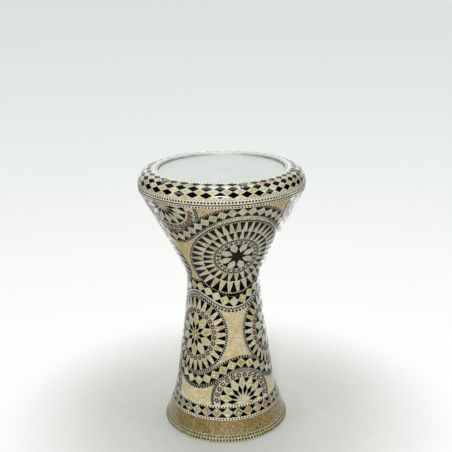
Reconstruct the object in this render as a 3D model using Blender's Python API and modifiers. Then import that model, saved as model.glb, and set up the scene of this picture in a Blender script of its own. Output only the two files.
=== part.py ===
"""Goblet drum (darbuka): cast aluminium body with a bolted tension ring and
mother-of-pearl inlay.  Metres, +Z up, origin at the centre of the foot's
resting plane.  The front of the drum faces -Y.

Dimensions are in millimetres and become metres where objects are made.
An outline is a list of (radius, height) points.
"""
import math
from itertools import accumulate, pairwise

import bpy
import numpy as np

MM = 0.001

# ----------------------------------------------------------- shared dimensions
SEGMENTS = 36                  # facets round every large turned piece
SMALL_SEGMENTS = 12            # facets round bolts, washers and inserts

GAP = 0.3                      # between neighbouring solids
HALF_GAP = 0.5 * GAP
INLAY_T = 1.2                  # thickness of the glued inlay
SKIN = INLAY_T + GAP           # from the finished outline down to the metal

COLLAR_R = 104.8               # outside of the head's bearing collar
COLLAR_BORE_R = 100.3
COLLAR_TOP_Z = 453.7           # top of the bearing edge
FLANGE_Z = 428.8               # flange the ring is drawn down to

FILM_T = 0.5
FILM_Z = COLLAR_TOP_Z + GAP    # underside of the playing surface
FILM_BORE_R = COLLAR_R + GAP   # inside of the head's skirt
FILM_SKIRT_R = FILM_BORE_R + FILM_T

HOOP_LOW_Z = 434.5
HOOP_TOP_Z = 441.5

BOLT_COUNT = 6
BOLT_START_DEG = 15.0          # first bolt, measured from the front towards +X
BOLT_CIRCLE_R = 124.0
BOLT_R = 3.0                   # M6
BOLT_HOLE_R = BOLT_R + 0.4     # bore of the ring's holes and of the washers
SEAT_Z = 447.7                 # floor of the bolt recess

# -------------------------------------------------------- finished body outline
# Foot and neck cones and a slightly curved bowl, blended into each other.
# Slopes are radius per height.
BODY_TOP_Z = 429.0             # top edge of the body, just under the seam
FOOT_R = 109.5                 # foot cone, radius at the ground
FOOT_SLOPE = 0.413
NECK_R = 94.2                  # neck cone, carried down to the ground
NECK_SLOPE = 0.129
BOWL_REF_Z = 340.0             # height at which the bowl has the next radius
BOWL_REF_R = 94.0
BOWL_SLOPE = 0.513
BOWL_FLARE = 0.0002            # slight trumpet curve of the bowl
BOWL_CAP_R = 140.6             # the bowl rolls over into this radius
FOOT_BLEND = 3.2               # softness of each blend
WAIST_BLEND = 5.1
CAP_BLEND = 0.7

# heights at which the outside of the body has a ring of points
STATIONS = [424.0, 405.0, 370.0, 335.0, 305.0, 286.0, 273.0, 262.0, 251.0,
            235.0, 200.0, 155.0, 115.0, 86.0, 68.0, 48.0, 28.0, 13.0]


def blend_max(a, b, softness):
    return 0.5 * (a + b + math.sqrt((a - b) ** 2 + 4.0 * softness ** 2))


def blend_min(a, b, softness):
    return 0.5 * (a + b - math.sqrt((a - b) ** 2 + 4.0 * softness ** 2))


def body_radius(z):
    foot = FOOT_R - FOOT_SLOPE * z
    neck = NECK_R - NECK_SLOPE * z
    rise = z - BOWL_REF_Z
    bowl = BOWL_REF_R + BOWL_SLOPE * rise + BOWL_FLARE * rise ** 2
    stem = blend_max(foot, neck, FOOT_BLEND)
    return blend_min(blend_max(stem, bowl, WAIST_BLEND), BOWL_CAP_R, CAP_BLEND)


def body_slope(z, reach):
    """Radius per height, measured over a span of reach either side of z."""
    return (body_radius(z + reach) - body_radius(z - reach)) / (2 * reach)


def body_point(z, inset=0.0):
    """Point of the body outline at height z, moved inwards along the normal."""
    slope = body_slope(z, 0.5)
    length = math.hypot(1.0, slope)
    return (body_radius(z) - inset / length, z + inset * slope / length)


# -------------------------------------------------------- finished ring outline
# A quarter of a superellipse, then a flat in to the bore.
RING_SEAM_Z = 430.3
RING_CENTRE_R = 112.0
RING_HALF_W = 28.0
RING_RISE = 28.5
RING_POWER = 2.6
RING_BORE_R = 106.3
RING_TOP_Z = RING_SEAM_Z + RING_RISE
CURVE_STEPS = 400
FLAT_STEPS = 40


def ring_curve():
    """Dense outline of the ring from the seam over the shoulder to the bore."""
    points = []
    for i in range(CURVE_STEPS + 1):
        angle = 0.5 * math.pi * i / CURVE_STEPS
        cosine = max(math.cos(angle), 0.0)     # rounding may take it below zero
        points.append((RING_CENTRE_R + RING_HALF_W * cosine ** (2 / RING_POWER),
                       RING_SEAM_Z + RING_RISE * math.sin(angle) ** (2 / RING_POWER)))
    for i in range(1, FLAT_STEPS + 1):
        inward = (RING_CENTRE_R - RING_BORE_R) * i / FLAT_STEPS
        points.append((RING_CENTRE_R - inward, RING_TOP_Z))
    return points


RING_CURVE = ring_curve()
RING_RADII, RING_HEIGHTS = zip(*RING_CURVE)
RING_ARCS = list(accumulate((math.dist(a, b) for a, b in pairwise(RING_CURVE)),
                            initial=0.0))

# arc lengths from the seam
RIM_LOW_ARC = 9.6              # top of the strip above the seam
RIM_HIGH_ARC = 46.5            # where the inner dot strip begins
RIM_STOP_ARC = RING_ARCS[-1] - 0.8
RIM_STATIONS = [39.0, 33.5, 29.0, 24.5, 19.0]


def ring_at(arc):
    return (float(np.interp(arc, RING_ARCS, RING_RADII)),
            float(np.interp(arc, RING_ARCS, RING_HEIGHTS)))


def ring_point(arc, inset=0.0):
    """Point of the ring outline at an arc length, moved inwards along the normal."""
    reach = 0.4
    before, after = ring_at(arc - reach), ring_at(arc + reach)
    step_r, step_z = after[0] - before[0], after[1] - before[1]
    length = math.hypot(step_r, step_z)
    radius, z = ring_at(arc)
    return (radius - inset * step_z / length, z + inset * step_r / length)


# ---------------------------------------------------------------- scene set-up
for old in list(bpy.data.objects):
    bpy.data.objects.remove(old, do_unlink=True)


def collection(name):
    group = bpy.data.collections.new(name)
    bpy.context.scene.collection.children.link(group)
    return group


DRUM = collection("darbuka")
CUTTERS = collection("cutters")


# ------------------------------------------------------------------- materials
def material(name, colour, roughness, metallic=0.0):
    mat = bpy.data.materials.new(name)
    mat.use_nodes = True
    inputs = mat.node_tree.nodes["Principled BSDF"].inputs
    inputs["Base Color"].default_value = (*colour, 1.0)
    inputs["Roughness"].default_value = roughness
    inputs["Metallic"].default_value = metallic
    return mat


CAST = material("cast_aluminium", colour=(0.62, 0.62, 0.60), roughness=0.45, metallic=1.0)
RING_METAL = material("ring_metal", colour=(0.55, 0.55, 0.54), roughness=0.35, metallic=1.0)
FILM = material("film_white", colour=(0.86, 0.88, 0.86), roughness=0.35)
HOOP_METAL = material("hoop_aluminium", colour=(0.75, 0.75, 0.75), roughness=0.3, metallic=1.0)
CHROME = material("chrome", colour=(0.80, 0.80, 0.80), roughness=0.12, metallic=1.0)
STEEL = material("steel", colour=(0.55, 0.55, 0.56), roughness=0.35, metallic=1.0)
PEARL = material("pearl_inlay", colour=(0.74, 0.69, 0.54), roughness=0.15)
TAN_PEARL = material("tan_pearl", colour=(0.62, 0.52, 0.32), roughness=0.18)
BROWN_PEARL = material("brown_pearl", colour=(0.42, 0.32, 0.17), roughness=0.18)
DOT_STRIP = material("dot_strip", colour=(0.55, 0.53, 0.42), roughness=0.15)
RIM_FIELD = material("rim_field", colour=(0.35, 0.33, 0.28), roughness=0.12)


# -------------------------------------------------------------- shape builders
def turned(name, outline, mat, group=DRUM, segments=SEGMENTS, closed=True,
           centre=(0.0, 0.0)):
    """A body of revolution about a vertical axis through centre.  An open
    outline (closed=False) starts and ends on the axis."""
    mesh = bpy.data.meshes.new(name)
    verts = [(radius * MM, 0.0, z * MM) for radius, z in outline]
    edges = list(pairwise(range(len(verts))))
    if closed:
        edges.append((len(verts) - 1, 0))
    mesh.from_pydata(verts, edges, [])
    mesh.materials.append(mat)
    piece = bpy.data.objects.new(name, mesh)
    group.objects.link(piece)
    piece.location = (centre[0] * MM, centre[1] * MM, 0.0)
    screw = piece.modifiers.new("turn", 'SCREW')
    screw.axis = 'Z'
    screw.angle = 2 * math.pi
    screw.steps = screw.render_steps = segments
    screw.use_merge_vertices = True
    screw.merge_threshold = 0.00001
    screw.use_smooth_shade = True
    return piece


def sleeve(name, bore_r, outer_r, low_z, high_z, mat, centre):
    """A small plain tube."""
    turned(name, [(bore_r, high_z), (outer_r, high_z), (outer_r, low_z), (bore_r, low_z)],
           mat, segments=SMALL_SEGMENTS, centre=centre)


def plug(name, radius, low_z, high_z, centre=(0.0, 0.0), segments=20, mat=STEEL):
    """A plain closed cylinder or prism used as a cutter."""
    return turned(name, [(0.0, high_z), (radius, high_z), (radius, low_z), (0.0, low_z)],
                  mat, CUTTERS, segments, closed=False, centre=centre)


def veneer(name, point, stations, mat):
    """A thin inlay shell that follows an outline through the stations."""
    outer = [point(station, 0.0) for station in stations]
    inner = [point(station, INLAY_T) for station in stations]
    return turned(name, outer + inner[::-1], mat)


def cut(piece, cutter):
    cutter.hide_render = True
    cutter.display_type = 'WIRE'
    boolean = piece.modifiers.new("cut_" + cutter.name, 'BOOLEAN')
    boolean.operation = 'DIFFERENCE'
    boolean.object = cutter


def bolt_places():
    """Number and (x, y) of each bolt."""
    for k in range(BOLT_COUNT):
        angle = math.radians(BOLT_START_DEG + 360.0 / BOLT_COUNT * k)
        yield k + 1, (BOLT_CIRCLE_R * math.sin(angle), -BOLT_CIRCLE_R * math.cos(angle))


# --------------------------------------------------------------- shell casting
WALL = 5.5                     # wall of the casting
FOOT_CHAMFER = 1.2
INSERT_HOLE_R = 4.95
INSERT_HOLE_LOW_Z = 415.0
# heights of the points up the inner wall
INNER_STATIONS = [28.0, 48.0, 86.0, 115.0, 200.0, 251.0, 262.0, 273.0, 286.0, 335.0]
# (radius, height) where the inner wall turns in to the collar bore
SHOULDER_UNDERSIDE = [(115.5, 398.0), (114.0, 413.0),
                      (COLLAR_BORE_R + 2.0, 422.0), (COLLAR_BORE_R, 427.0)]


def build_shell():
    collar = [(COLLAR_BORE_R + 2.2, COLLAR_TOP_Z), (COLLAR_R - 0.7, COLLAR_TOP_Z),
              (COLLAR_R, COLLAR_TOP_Z - 0.9), (COLLAR_R, FLANGE_Z)]
    flange_edge = (body_point(BODY_TOP_Z, SKIN)[0] - 0.1, FLANGE_Z)
    outside = [body_point(z, SKIN) for z in STATIONS]

    foot_normal = math.hypot(1.0, body_slope(FOOT_CHAMFER, 0.8))
    foot_r = body_radius(FOOT_CHAMFER) - (SKIN + 0.05) * foot_normal
    foot = [(foot_r, FOOT_CHAMFER), (foot_r - FOOT_CHAMFER, 0.0),
            (foot_r - WALL + 0.6, 0.0), (foot_r - WALL - 0.4, 1.5)]

    inside = [body_point(z, SKIN + WALL) for z in INNER_STATIONS]
    bore_top = (COLLAR_BORE_R, COLLAR_TOP_Z - 2.6)
    shell = turned("shell_casting",
                   collar + [flange_edge] + outside + foot + inside
                   + SHOULDER_UNDERSIDE + [bore_top], CAST)
    for k, place in bolt_places():
        cut(shell, plug(f"insert_hole_{k}", INSERT_HOLE_R, INSERT_HOLE_LOW_Z,
                        FLANGE_Z + 4.0, place))


# ----------------------------------------------------------------- body inlays
# Bands from the top down: name, nominal height of the lower edge, material.
# Each band stops half a gap short of its nominal edges.
BANDS_TOP_Z = 428.75
BODY_BANDS = [
    ("bowl_top_dot_strip", 424.2, DOT_STRIP),
    ("bowl_mosaic", 262.0, TAN_PEARL),
    ("neck_mosaic", 60.0, TAN_PEARL),
    ("foot_upper_dot_strip", 56.4, DOT_STRIP),
    ("foot_rhomb_band", 39.6, PEARL),
    ("foot_lower_dot_strip", 36.0, DOT_STRIP),
    ("foot_pearl_band", 13.0, BROWN_PEARL),
    ("foot_base_dot_strip", 1.45, DOT_STRIP),
]
EDGE_CLEARANCE = 2.5           # stations nearer than this to a band's edge are left out


def build_body_inlays():
    upper_edge = BANDS_TOP_Z
    for name, lower_edge, mat in BODY_BANDS:
        high, low = upper_edge - HALF_GAP, lower_edge + HALF_GAP
        between = [z for z in STATIONS
                   if low + EDGE_CLEARANCE < z < high - EDGE_CLEARANCE]
        veneer(name, body_point, [high, *between, low], mat)
        upper_edge = lower_edge


# ---------------------------------------------------------------- tension ring
CAVITY_R = 131.4               # hollow under the ring, over the hoop
CAVITY_TOP_Z = HOOP_TOP_Z + GAP
CAVITY_CHAMFER = 1.4
SEAM_CHAMFER = 0.6
RECESS_R = 6.9
CUT_TOP_Z = 470.0              # clear above the ring


def build_ring():
    metal_top_z = RING_TOP_Z - SKIN
    seam_r = ring_point(0.4, SKIN)[0]
    outline = [
        (RING_BORE_R, metal_top_z - 0.9),
        (RING_BORE_R + 0.8, metal_top_z),
        *[ring_point(arc, SKIN) for arc in [RIM_HIGH_ARC, *RIM_STATIONS, 10.0]],
        (seam_r, RING_SEAM_Z + SEAM_CHAMFER),
        (seam_r - SEAM_CHAMFER, RING_SEAM_Z),
        (CAVITY_R, RING_SEAM_Z),
        (CAVITY_R, CAVITY_TOP_Z - CAVITY_CHAMFER),
        (CAVITY_R - CAVITY_CHAMFER, CAVITY_TOP_Z),
        (RING_BORE_R, CAVITY_TOP_Z),
    ]
    ring = turned("tension_ring", outline, RING_METAL)
    for k, place in bolt_places():
        cut(ring, plug(f"recess_{k}", RECESS_R, SEAT_Z, CUT_TOP_Z, place))
        cut(ring, plug(f"bolt_hole_{k}", BOLT_HOLE_R, 436.0, 462.0, place, segments=16))


def build_ring_inlays():
    field = veneer("rim_mosaic", ring_point,
                   [RIM_HIGH_ARC - HALF_GAP, *RIM_STATIONS, RIM_LOW_ARC + HALF_GAP],
                   RIM_FIELD)
    for k, place in bolt_places():
        cut(field, plug(f"inlay_hole_{k}", RECESS_R, SEAT_Z - 4.0, CUT_TOP_Z, place))
    veneer("rim_inner_dot_strip", ring_point,
           [RIM_STOP_ARC, RIM_HIGH_ARC + HALF_GAP], DOT_STRIP)
    veneer("rim_lower_dot_strip", ring_point, [RIM_LOW_ARC - HALF_GAP, 0.5], DOT_STRIP)


# --------------------------------------------------------------- head and hoop
FILM_SKIRT_LOW_Z = 434.8
FILM_MID_R = 60.0              # extra ring of points across the flat
HOOP_BORE_R = FILM_SKIRT_R + GAP
HOOP_R = 111.2
HOOP_CHAMFER = 0.6


def build_head():
    top_z = FILM_Z + FILM_T
    turned("drum_head",
           [(0.0, top_z), (FILM_MID_R, top_z),
            (FILM_BORE_R - 0.7, top_z), (FILM_SKIRT_R, FILM_Z - 0.8),
            (FILM_SKIRT_R, FILM_SKIRT_LOW_Z), (FILM_BORE_R, FILM_SKIRT_LOW_Z),
            (FILM_BORE_R, FILM_Z - 0.9), (FILM_BORE_R - 0.8, FILM_Z),
            (FILM_MID_R, FILM_Z), (0.0, FILM_Z)],
           FILM, closed=False)


def build_hoop():
    """Hoop chamfered at every corner but the lower inner one."""
    turned("flesh_hoop",
           [(HOOP_BORE_R + HOOP_CHAMFER, HOOP_TOP_Z), (HOOP_R - HOOP_CHAMFER, HOOP_TOP_Z),
            (HOOP_R, HOOP_TOP_Z - HOOP_CHAMFER), (HOOP_R, HOOP_LOW_Z + HOOP_CHAMFER),
            (HOOP_R - HOOP_CHAMFER, HOOP_LOW_Z), (HOOP_BORE_R, HOOP_LOW_Z),
            (HOOP_BORE_R, HOOP_TOP_Z - HOOP_CHAMFER)],
           HOOP_METAL)


# ---------------------------------------------------------- bolts and hardware
WASHER_R = 6.3
WASHER_LOW_Z = SEAT_Z + GAP
WASHER_TOP_Z = WASHER_LOW_Z + 1.2

BOLT_HEAD_R = 5.0
BOLT_HEAD_LOW_Z = WASHER_TOP_Z + GAP
BOLT_HEAD_TOP_Z = BOLT_HEAD_LOW_Z + 6.0
BOLT_HEAD_CHAMFER = 0.6
BOLT_TIP_Z = 418.0
BOLT_TIP_CHAMFER = 0.8
SOCKET_FLATS = 5.0             # across flats
SOCKET_DEPTH = 3.5

INSERT_BORE_R = BOLT_R + GAP
INSERT_R = 4.6
INSERT_LOW_Z = 416.3
INSERT_TOP_Z = 428.2


def build_bolt(k, place):
    """A socket-head bolt, parented to an empty on its axis."""
    axis = bpy.data.objects.new(f"bolt_axis_{k}", None)
    DRUM.objects.link(axis)
    axis.location = (place[0] * MM, place[1] * MM, 0.0)
    bolt = turned(f"tuning_bolt_{k}",
                  [(0.0, BOLT_HEAD_TOP_Z),
                   (BOLT_HEAD_R - BOLT_HEAD_CHAMFER, BOLT_HEAD_TOP_Z),
                   (BOLT_HEAD_R, BOLT_HEAD_TOP_Z - BOLT_HEAD_CHAMFER),
                   (BOLT_HEAD_R, BOLT_HEAD_LOW_Z), (BOLT_R, BOLT_HEAD_LOW_Z),
                   (BOLT_R, BOLT_TIP_Z + BOLT_TIP_CHAMFER),
                   (BOLT_R - BOLT_TIP_CHAMFER, BOLT_TIP_Z), (0.0, BOLT_TIP_Z)],
                  CHROME, segments=SMALL_SEGMENTS, closed=False)
    bolt.parent = axis
    socket = plug(f"socket_{k}", SOCKET_FLATS / math.sqrt(3.0),
                  BOLT_HEAD_TOP_Z - SOCKET_DEPTH, BOLT_HEAD_TOP_Z + 3.0,
                  segments=6, mat=CHROME)
    socket.parent = axis
    cut(bolt, socket)


def build_hardware():
    for k, place in bolt_places():
        build_bolt(k, place)
        sleeve(f"bolt_washer_{k}", BOLT_HOLE_R, WASHER_R, WASHER_LOW_Z, WASHER_TOP_Z,
               CHROME, place)
        sleeve(f"thread_insert_{k}", INSERT_BORE_R, INSERT_R, INSERT_LOW_Z, INSERT_TOP_Z,
               STEEL, place)


build_shell()
build_body_inlays()
build_ring()
build_ring_inlays()
build_head()
build_hoop()
build_hardware()
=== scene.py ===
"""A goblet-shaped hand drum: a cast aluminium shell and screwed tension ring, both
covered in polished pearl and black inlay, with a clear-white head.

It stands on z = 0 with its axis on Z, and its front faces -Y.  Sizes are in
millimetres up to the point where a mesh is made (see MM); the stage is in metres.
"""

import math
import random

import bmesh
import bpy
import numpy as np
from mathutils import Matrix, Vector


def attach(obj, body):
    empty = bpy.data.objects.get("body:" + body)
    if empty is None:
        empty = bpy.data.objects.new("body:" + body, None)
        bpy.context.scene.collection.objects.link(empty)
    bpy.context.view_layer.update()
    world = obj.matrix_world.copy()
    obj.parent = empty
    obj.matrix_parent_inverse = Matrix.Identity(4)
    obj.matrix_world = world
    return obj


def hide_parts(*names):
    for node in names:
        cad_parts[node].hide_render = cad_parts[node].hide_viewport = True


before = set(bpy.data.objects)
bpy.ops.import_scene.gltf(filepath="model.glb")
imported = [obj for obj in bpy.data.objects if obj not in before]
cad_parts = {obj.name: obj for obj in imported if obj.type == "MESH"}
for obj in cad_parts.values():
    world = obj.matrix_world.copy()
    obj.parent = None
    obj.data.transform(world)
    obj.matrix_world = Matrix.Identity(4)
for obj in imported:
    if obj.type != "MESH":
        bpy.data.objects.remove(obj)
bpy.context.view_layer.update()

MM = 0.001
TAU = 2 * math.pi
rng = random.Random(20417)

# ============================================================ driving sizes (mm)
BOWL_TOP_Z = 429.0
SEAM_Z = 430.3                  # joint between shell and tension ring
RING_BORE_R = 106.3
RIM_FLAT_R = 112.0              # the rim's flat top reaches out to here
RIM_WIDTH, RIM_HEIGHT = 28.0, 28.5
RIM_TOP_Z = SEAM_Z + RIM_HEIGHT
RIM_POWER = 2 / 2.6             # superellipse of the rim's section
SKIN = 1.5                      # metal lies this far under the polished surface
WALL = 5.5

BOLT_COUNT, BOLT_START, BOLT_CIRCLE_R = 6, 15.0, 124.0
RECESS_R, SEAT_Z = 6.9, 447.7
BOLTS = []                      # (number, angle, (x, y))
for k in range(BOLT_COUNT):
    turn = math.radians(BOLT_START + 360 / BOLT_COUNT * k)
    BOLTS.append((k + 1, turn, (BOLT_CIRCLE_R * math.sin(turn), -BOLT_CIRCLE_R * math.cos(turn))))

# Heights of the inlay's layers relative to the polished surface
TOP_GROUND, TOP_FIELD, TOP_BAND, TOP_ROPE = -0.34, -0.24, -0.20, -0.155
TOP_CRESCENT, TOP_DOT, TOP_TILE = -0.115, -0.085, -0.05
BOTTOM_GROUND, BOTTOM_TILE, BOTTOM_DOT, BOTTOM_SLIP = -1.2, -0.45, -0.4, -0.2

# The patterns' angles in degrees and heights
LARGE_ANGLES, LARGE_Z, LARGE_R = (15.0, 135.0, 255.0), 329.0, 81.2
RIM_LOW, RIM_HIGH = 9.6, 46.5   # arc lengths where the rim's dot strips meet its field


# ===================================================================== outlines
def soft_choice(first, second, softness, side):
    """The larger (side 1) or smaller (side -1) of two values, blended where they meet."""
    root = np.sqrt((first - second) ** 2 + 4 * softness * softness)
    return 0.5 * (first + second + side * root)


def body_radius(z):
    foot = 109.5 - 0.413 * z
    neck = 94.2 - 0.129 * z
    rise = z - 340.0
    bowl = 94.0 + 0.513 * rise + 0.0002 * rise * rise
    flared = soft_choice(soft_choice(foot, neck, 3.2, 1), bowl, 5.1, 1)
    return soft_choice(flared, 140.6, 0.7, -1)


class Outline:
    """A turned outline that runs upwards on its outer side.  A place on the
    surface is an angle (from the front towards +X), an arc length and a height
    above the surface."""

    def __init__(self, radii, heights):
        self.radii, self.heights = np.asarray(radii, float), np.asarray(heights, float)
        lengths = np.hypot(np.diff(self.radii), np.diff(self.heights))
        self.arcs = np.concatenate([[0], np.cumsum(lengths)])
        slope_r = np.gradient(self.radii, self.arcs)
        slope_z = np.gradient(self.heights, self.arcs)
        size = np.hypot(slope_r, slope_z)
        self.normal_r, self.normal_z = slope_z / size, -slope_r / size
        self.length = self.arcs[-1]

    def radius(self, arc):
        return np.interp(arc, self.arcs, self.radii)

    def arc_at(self, z):
        return np.interp(z, self.heights, self.arcs)

    def section(self, arc, height=0.0):
        """Radius and z of a place."""
        return (np.interp(arc, self.arcs, self.radii)
                + height * np.interp(arc, self.arcs, self.normal_r),
                np.interp(arc, self.arcs, self.heights)
                + height * np.interp(arc, self.arcs, self.normal_z))

    def point(self, angle, arc, height=0.0):
        radius, z = self.section(arc, height)
        return np.stack([radius * np.sin(angle), -radius * np.cos(angle), z], -1)

    def normal(self, angle, arc):
        out = np.interp(arc, self.arcs, self.normal_r)
        up = np.interp(arc, self.arcs, self.normal_z)
        normals = np.stack([out * np.sin(angle), -out * np.cos(angle), up], -1)
        return normals / np.linalg.norm(normals, axis=-1, keepdims=True)


def make_body():
    heights = np.arange(0.0, BOWL_TOP_Z + 0.05, 0.25)
    return Outline(body_radius(heights), heights)


def make_rim():
    """A rounded shoulder, then a flat run in to the bore."""
    sweep = np.linspace(0, math.pi / 2, 1600)
    flat = np.linspace(RIM_FLAT_R, RING_BORE_R, 60)[1:]
    radii = RIM_FLAT_R + RIM_WIDTH * np.maximum(np.cos(sweep), 0) ** RIM_POWER
    heights = SEAM_Z + RIM_HEIGHT * np.sin(sweep) ** RIM_POWER
    return Outline(np.concatenate([radii, flat]),
                   np.concatenate([heights, np.full(len(flat), RIM_TOP_Z)]))


BODY = make_body()
RIM = make_rim()
body_arc = BODY.arc_at


def body_radius_at(z):
    return float(BODY.radius(body_arc(z)))


# ====================================================================== colours
def srgb(*levels):
    """Linear colour from 0-255 sRGB levels."""
    return tuple(((x / 255.0) / 12.92 if x / 255.0 <= 0.04045
                  else ((x / 255.0 + 0.055) / 1.055) ** 2.4) for x in levels)


def grey(level):
    return (level,) * 3


CREAMS = [(224, 216, 184), (216, 207, 170), (230, 223, 198), (210, 201, 162),
          (220, 215, 190), (206, 195, 150), (226, 217, 180), (218, 216, 196)]
TINTS = [(216, 199, 146), (204, 188, 128), (194, 188, 130), (208, 186, 132),
         (218, 205, 168), (200, 204, 168), (208, 212, 192), (184, 177, 114),
         (214, 195, 148), (222, 202, 174)]
BOLD = [(202, 160, 102), (174, 166, 100), (208, 182, 124), (194, 180, 126),
        (210, 192, 160), (194, 204, 188)]
WHITES = [(234, 232, 214), (222, 226, 212), (240, 238, 222), (214, 212, 190)]
FOOT_TINTS = [(160, 116, 62), (142, 130, 80), (176, 174, 156), (168, 134, 88),
              (130, 120, 70), (188, 152, 102), (150, 138, 94), (172, 128, 78)]
REDS = [(84, 20, 13), (68, 17, 12), (96, 27, 17), (54, 14, 10), (74, 24, 15)]
DARKS = [(13, 11, 11), (20, 14, 12)]
OLIVES = [(66, 58, 20), (44, 38, 20)]
FLOWER_HEARTS = [(26, 12, 10), (150, 112, 66), (13, 11, 11)]
BLACK = (9, 8, 9)
INK = srgb(12, 11, 11)
GROUT = srgb(196, 190, 156)


def jig(amount):
    return rng.uniform(-amount, amount)


def vary(colour, amount=8):
    shift = jig(amount)
    return srgb(*[min(max(x + shift + jig(amount * 0.4), 2), 250) for x in colour])


def pearl_tint(bold):
    pick = rng.random()
    if pick < bold * 0.5:
        return vary(rng.choice(BOLD))
    if pick < bold * 0.5 + 0.35:
        return vary(rng.choice(TINTS))
    return vary(rng.choice(CREAMS))


# ================================================================= shader nodes
class Nodes:
    """Adds nodes to a shader tree.  A value may be a number, a colour or a socket."""

    def __init__(self, tree):
        self.tree = tree

    def feed(self, socket, value):
        if isinstance(value, bpy.types.NodeSocket):
            self.tree.links.new(value, socket)
        elif isinstance(value, tuple) and socket.type == 'RGBA' and len(value) == 3:
            socket.default_value = (*value, 1.0)
        else:
            socket.default_value = value

    def set(self, node, **values):
        """Inputs by name, with _ for a space; any other name is a node property."""
        for name, value in values.items():
            key = name.replace("_", " ")
            if key in node.inputs:
                self.feed(node.inputs[key], value)
            else:
                setattr(node, name, value)
        return node

    def add(self, kind, **values):
        return self.set(self.tree.nodes.new("ShaderNode" + kind), **values)

    def noise(self, vector, **values):
        return self.add("TexNoise", Vector=vector, **values).outputs["Fac"]

    def coords(self, scale=(1, 1, 1)):
        place = self.add("TexCoord").outputs["Object"]
        return self.add("Mapping", Scale=scale, Vector=place).outputs["Vector"]

    def split(self, colour):
        return self.add("SeparateColor", Color=colour).outputs

    def split_xyz(self, vector):
        return self.add("SeparateXYZ", Vector=vector).outputs

    def tint(self):
        """A piece's own colour and, in alpha, nearness to its edge."""
        return self.add("Attribute", attribute_name="tint").outputs

    def math(self, operation, *values):
        node = self.add("Math", operation=operation)
        for socket, value in zip(node.inputs, values):
            self.feed(socket, value)
        return node.outputs[0]

    def ramp(self, value, *stops):
        """stops are (position, linear colour)."""
        node = self.add("ValToRGB", Fac=value)
        elements = node.color_ramp.elements
        while len(elements) < len(stops):
            elements.new(0.5)
        for i, (position, colour) in enumerate(stops):
            elements[i].position = position
            elements[i].color = (*colour, 1.0)
        return node.outputs["Color"]

    def spread(self, value, source=(0.0, 1.0), target=(0.0, 1.0), curve='LINEAR'):
        """Maps the source range onto the target range."""
        node = self.add("MapRange", From_Min=source[0], From_Max=source[1],
                        To_Min=target[0], To_Max=target[1], interpolation_type=curve)
        self.feed(node.inputs["Value"], value)
        return node.outputs["Result"]

    def mix(self, base, over, factor, mode='MIX'):
        node = self.add("Mix", data_type='RGBA', blend_type=mode)
        for i, value in ((0, factor), (6, base), (7, over)):
            self.feed(node.inputs[i], value)
        return node.outputs[2]

    def choose(self, off, on, factor):
        """A number: off where factor is 0, on where it is 1."""
        node = self.add("Mix", data_type='FLOAT')
        for i, value in ((0, factor), (2, off), (3, on)):
            self.feed(node.inputs[i], value)
        return node.outputs[0]

    def bump(self, height, strength, distance):
        node = self.add("Bump", Height=height, Strength=strength, Distance=distance)
        return node.outputs["Normal"]


def new_material(name):
    material = bpy.data.materials.new(name)
    material.use_nodes = True
    nodes = Nodes(material.node_tree)
    return material, nodes, nodes.tree.nodes["Principled BSDF"]


def lacquer(nodes, bsdf, ior=1.52):
    nodes.set(bsdf, Coat_Weight=1.0, Coat_Roughness=0.035, Coat_IOR=ior)


# ==================================================================== materials
def pearl_material(name, depth=1.0):
    """Mother-of-pearl: the piece's own tint, a warmer cloudy heart inside a pale
    edge, growth lines, small painted glints and a faint rainbow under the lacquer."""
    material, nodes, bsdf = new_material(name)
    tint = nodes.tint()
    vector = nodes.coords()
    cloud = nodes.noise(vector, Scale=230.0, Detail=3.0, Roughness=0.6, Distortion=0.8)
    hue = nodes.noise(vector, Scale=110.0, Detail=2.0, Roughness=0.5)
    lines = nodes.add("TexWave", Vector=vector, Scale=210.0, Distortion=11.0, Detail=3.0)
    fine = nodes.noise(vector, Scale=900.0, Detail=3.0, Roughness=0.65)
    chips = nodes.add("TexVoronoi", Vector=vector, Scale=560.0, Randomness=1.0)
    # colour of the cloudy heart: gold, brown, rose or green by place
    heart = nodes.ramp(hue, (0.32, srgb(150, 150, 88)), (0.42, srgb(190, 164, 92)),
                       (0.49, srgb(166, 150, 92)), (0.54, srgb(196, 148, 78)),
                       (0.60, srgb(208, 172, 136)), (0.70, srgb(160, 184, 160)))
    amount = nodes.ramp(cloud, (0.44, grey(0)), (0.58, grey(0.85 * depth)))
    inside = nodes.ramp(tint["Alpha"], (0.40, grey(1)), (0.92, grey(0.15)))
    heart_amount = nodes.math('MULTIPLY', amount, inside)
    heart = nodes.mix(heart, tint["Color"], 0.12)
    colour = nodes.mix(tint["Color"], heart, heart_amount)
    # growth lines and fine mottling
    growth = nodes.ramp(lines.outputs["Fac"], (0.30, srgb(206, 186, 150)), (0.55, grey(1)),
                        (0.80, srgb(238, 248, 242)))
    colour = nodes.mix(colour, growth, 0.40 * depth, 'MULTIPLY')
    mottle = nodes.ramp(fine, (0.34, srgb(196, 186, 160)), (0.55, grey(1)))
    colour = nodes.mix(colour, mottle, 0.55, 'MULTIPLY')
    # the pale polished edge
    edge = nodes.ramp(tint["Alpha"], (0.78, grey(0)), (0.97, grey(1)))
    edge = nodes.math('MULTIPLY', edge, 0.5 * depth)
    colour = nodes.mix(colour, srgb(232, 228, 210), edge)
    # painted glints: small bright specks painted into the colour, standing in for light caught by
    # the shell
    painted_glint = nodes.ramp(nodes.split(chips.outputs["Color"])[0],
                       (0.87, grey(0)), (0.93, grey(0.9 * depth)))
    painted_glint = nodes.math('MULTIPLY', painted_glint, inside)
    colour = nodes.mix(colour, srgb(250, 247, 236), painted_glint)
    nodes.set(bsdf, Base_Color=colour, Roughness=nodes.spread(fine, target=(0.22, 0.46)),
              Specular_IOR_Level=0.22, Thin_Film_Thickness=262.0, Thin_Film_IOR=1.5,
              Normal=nodes.bump(fine, strength=0.10, distance=0.0004))
    lacquer(nodes, bsdf)
    return material


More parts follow.
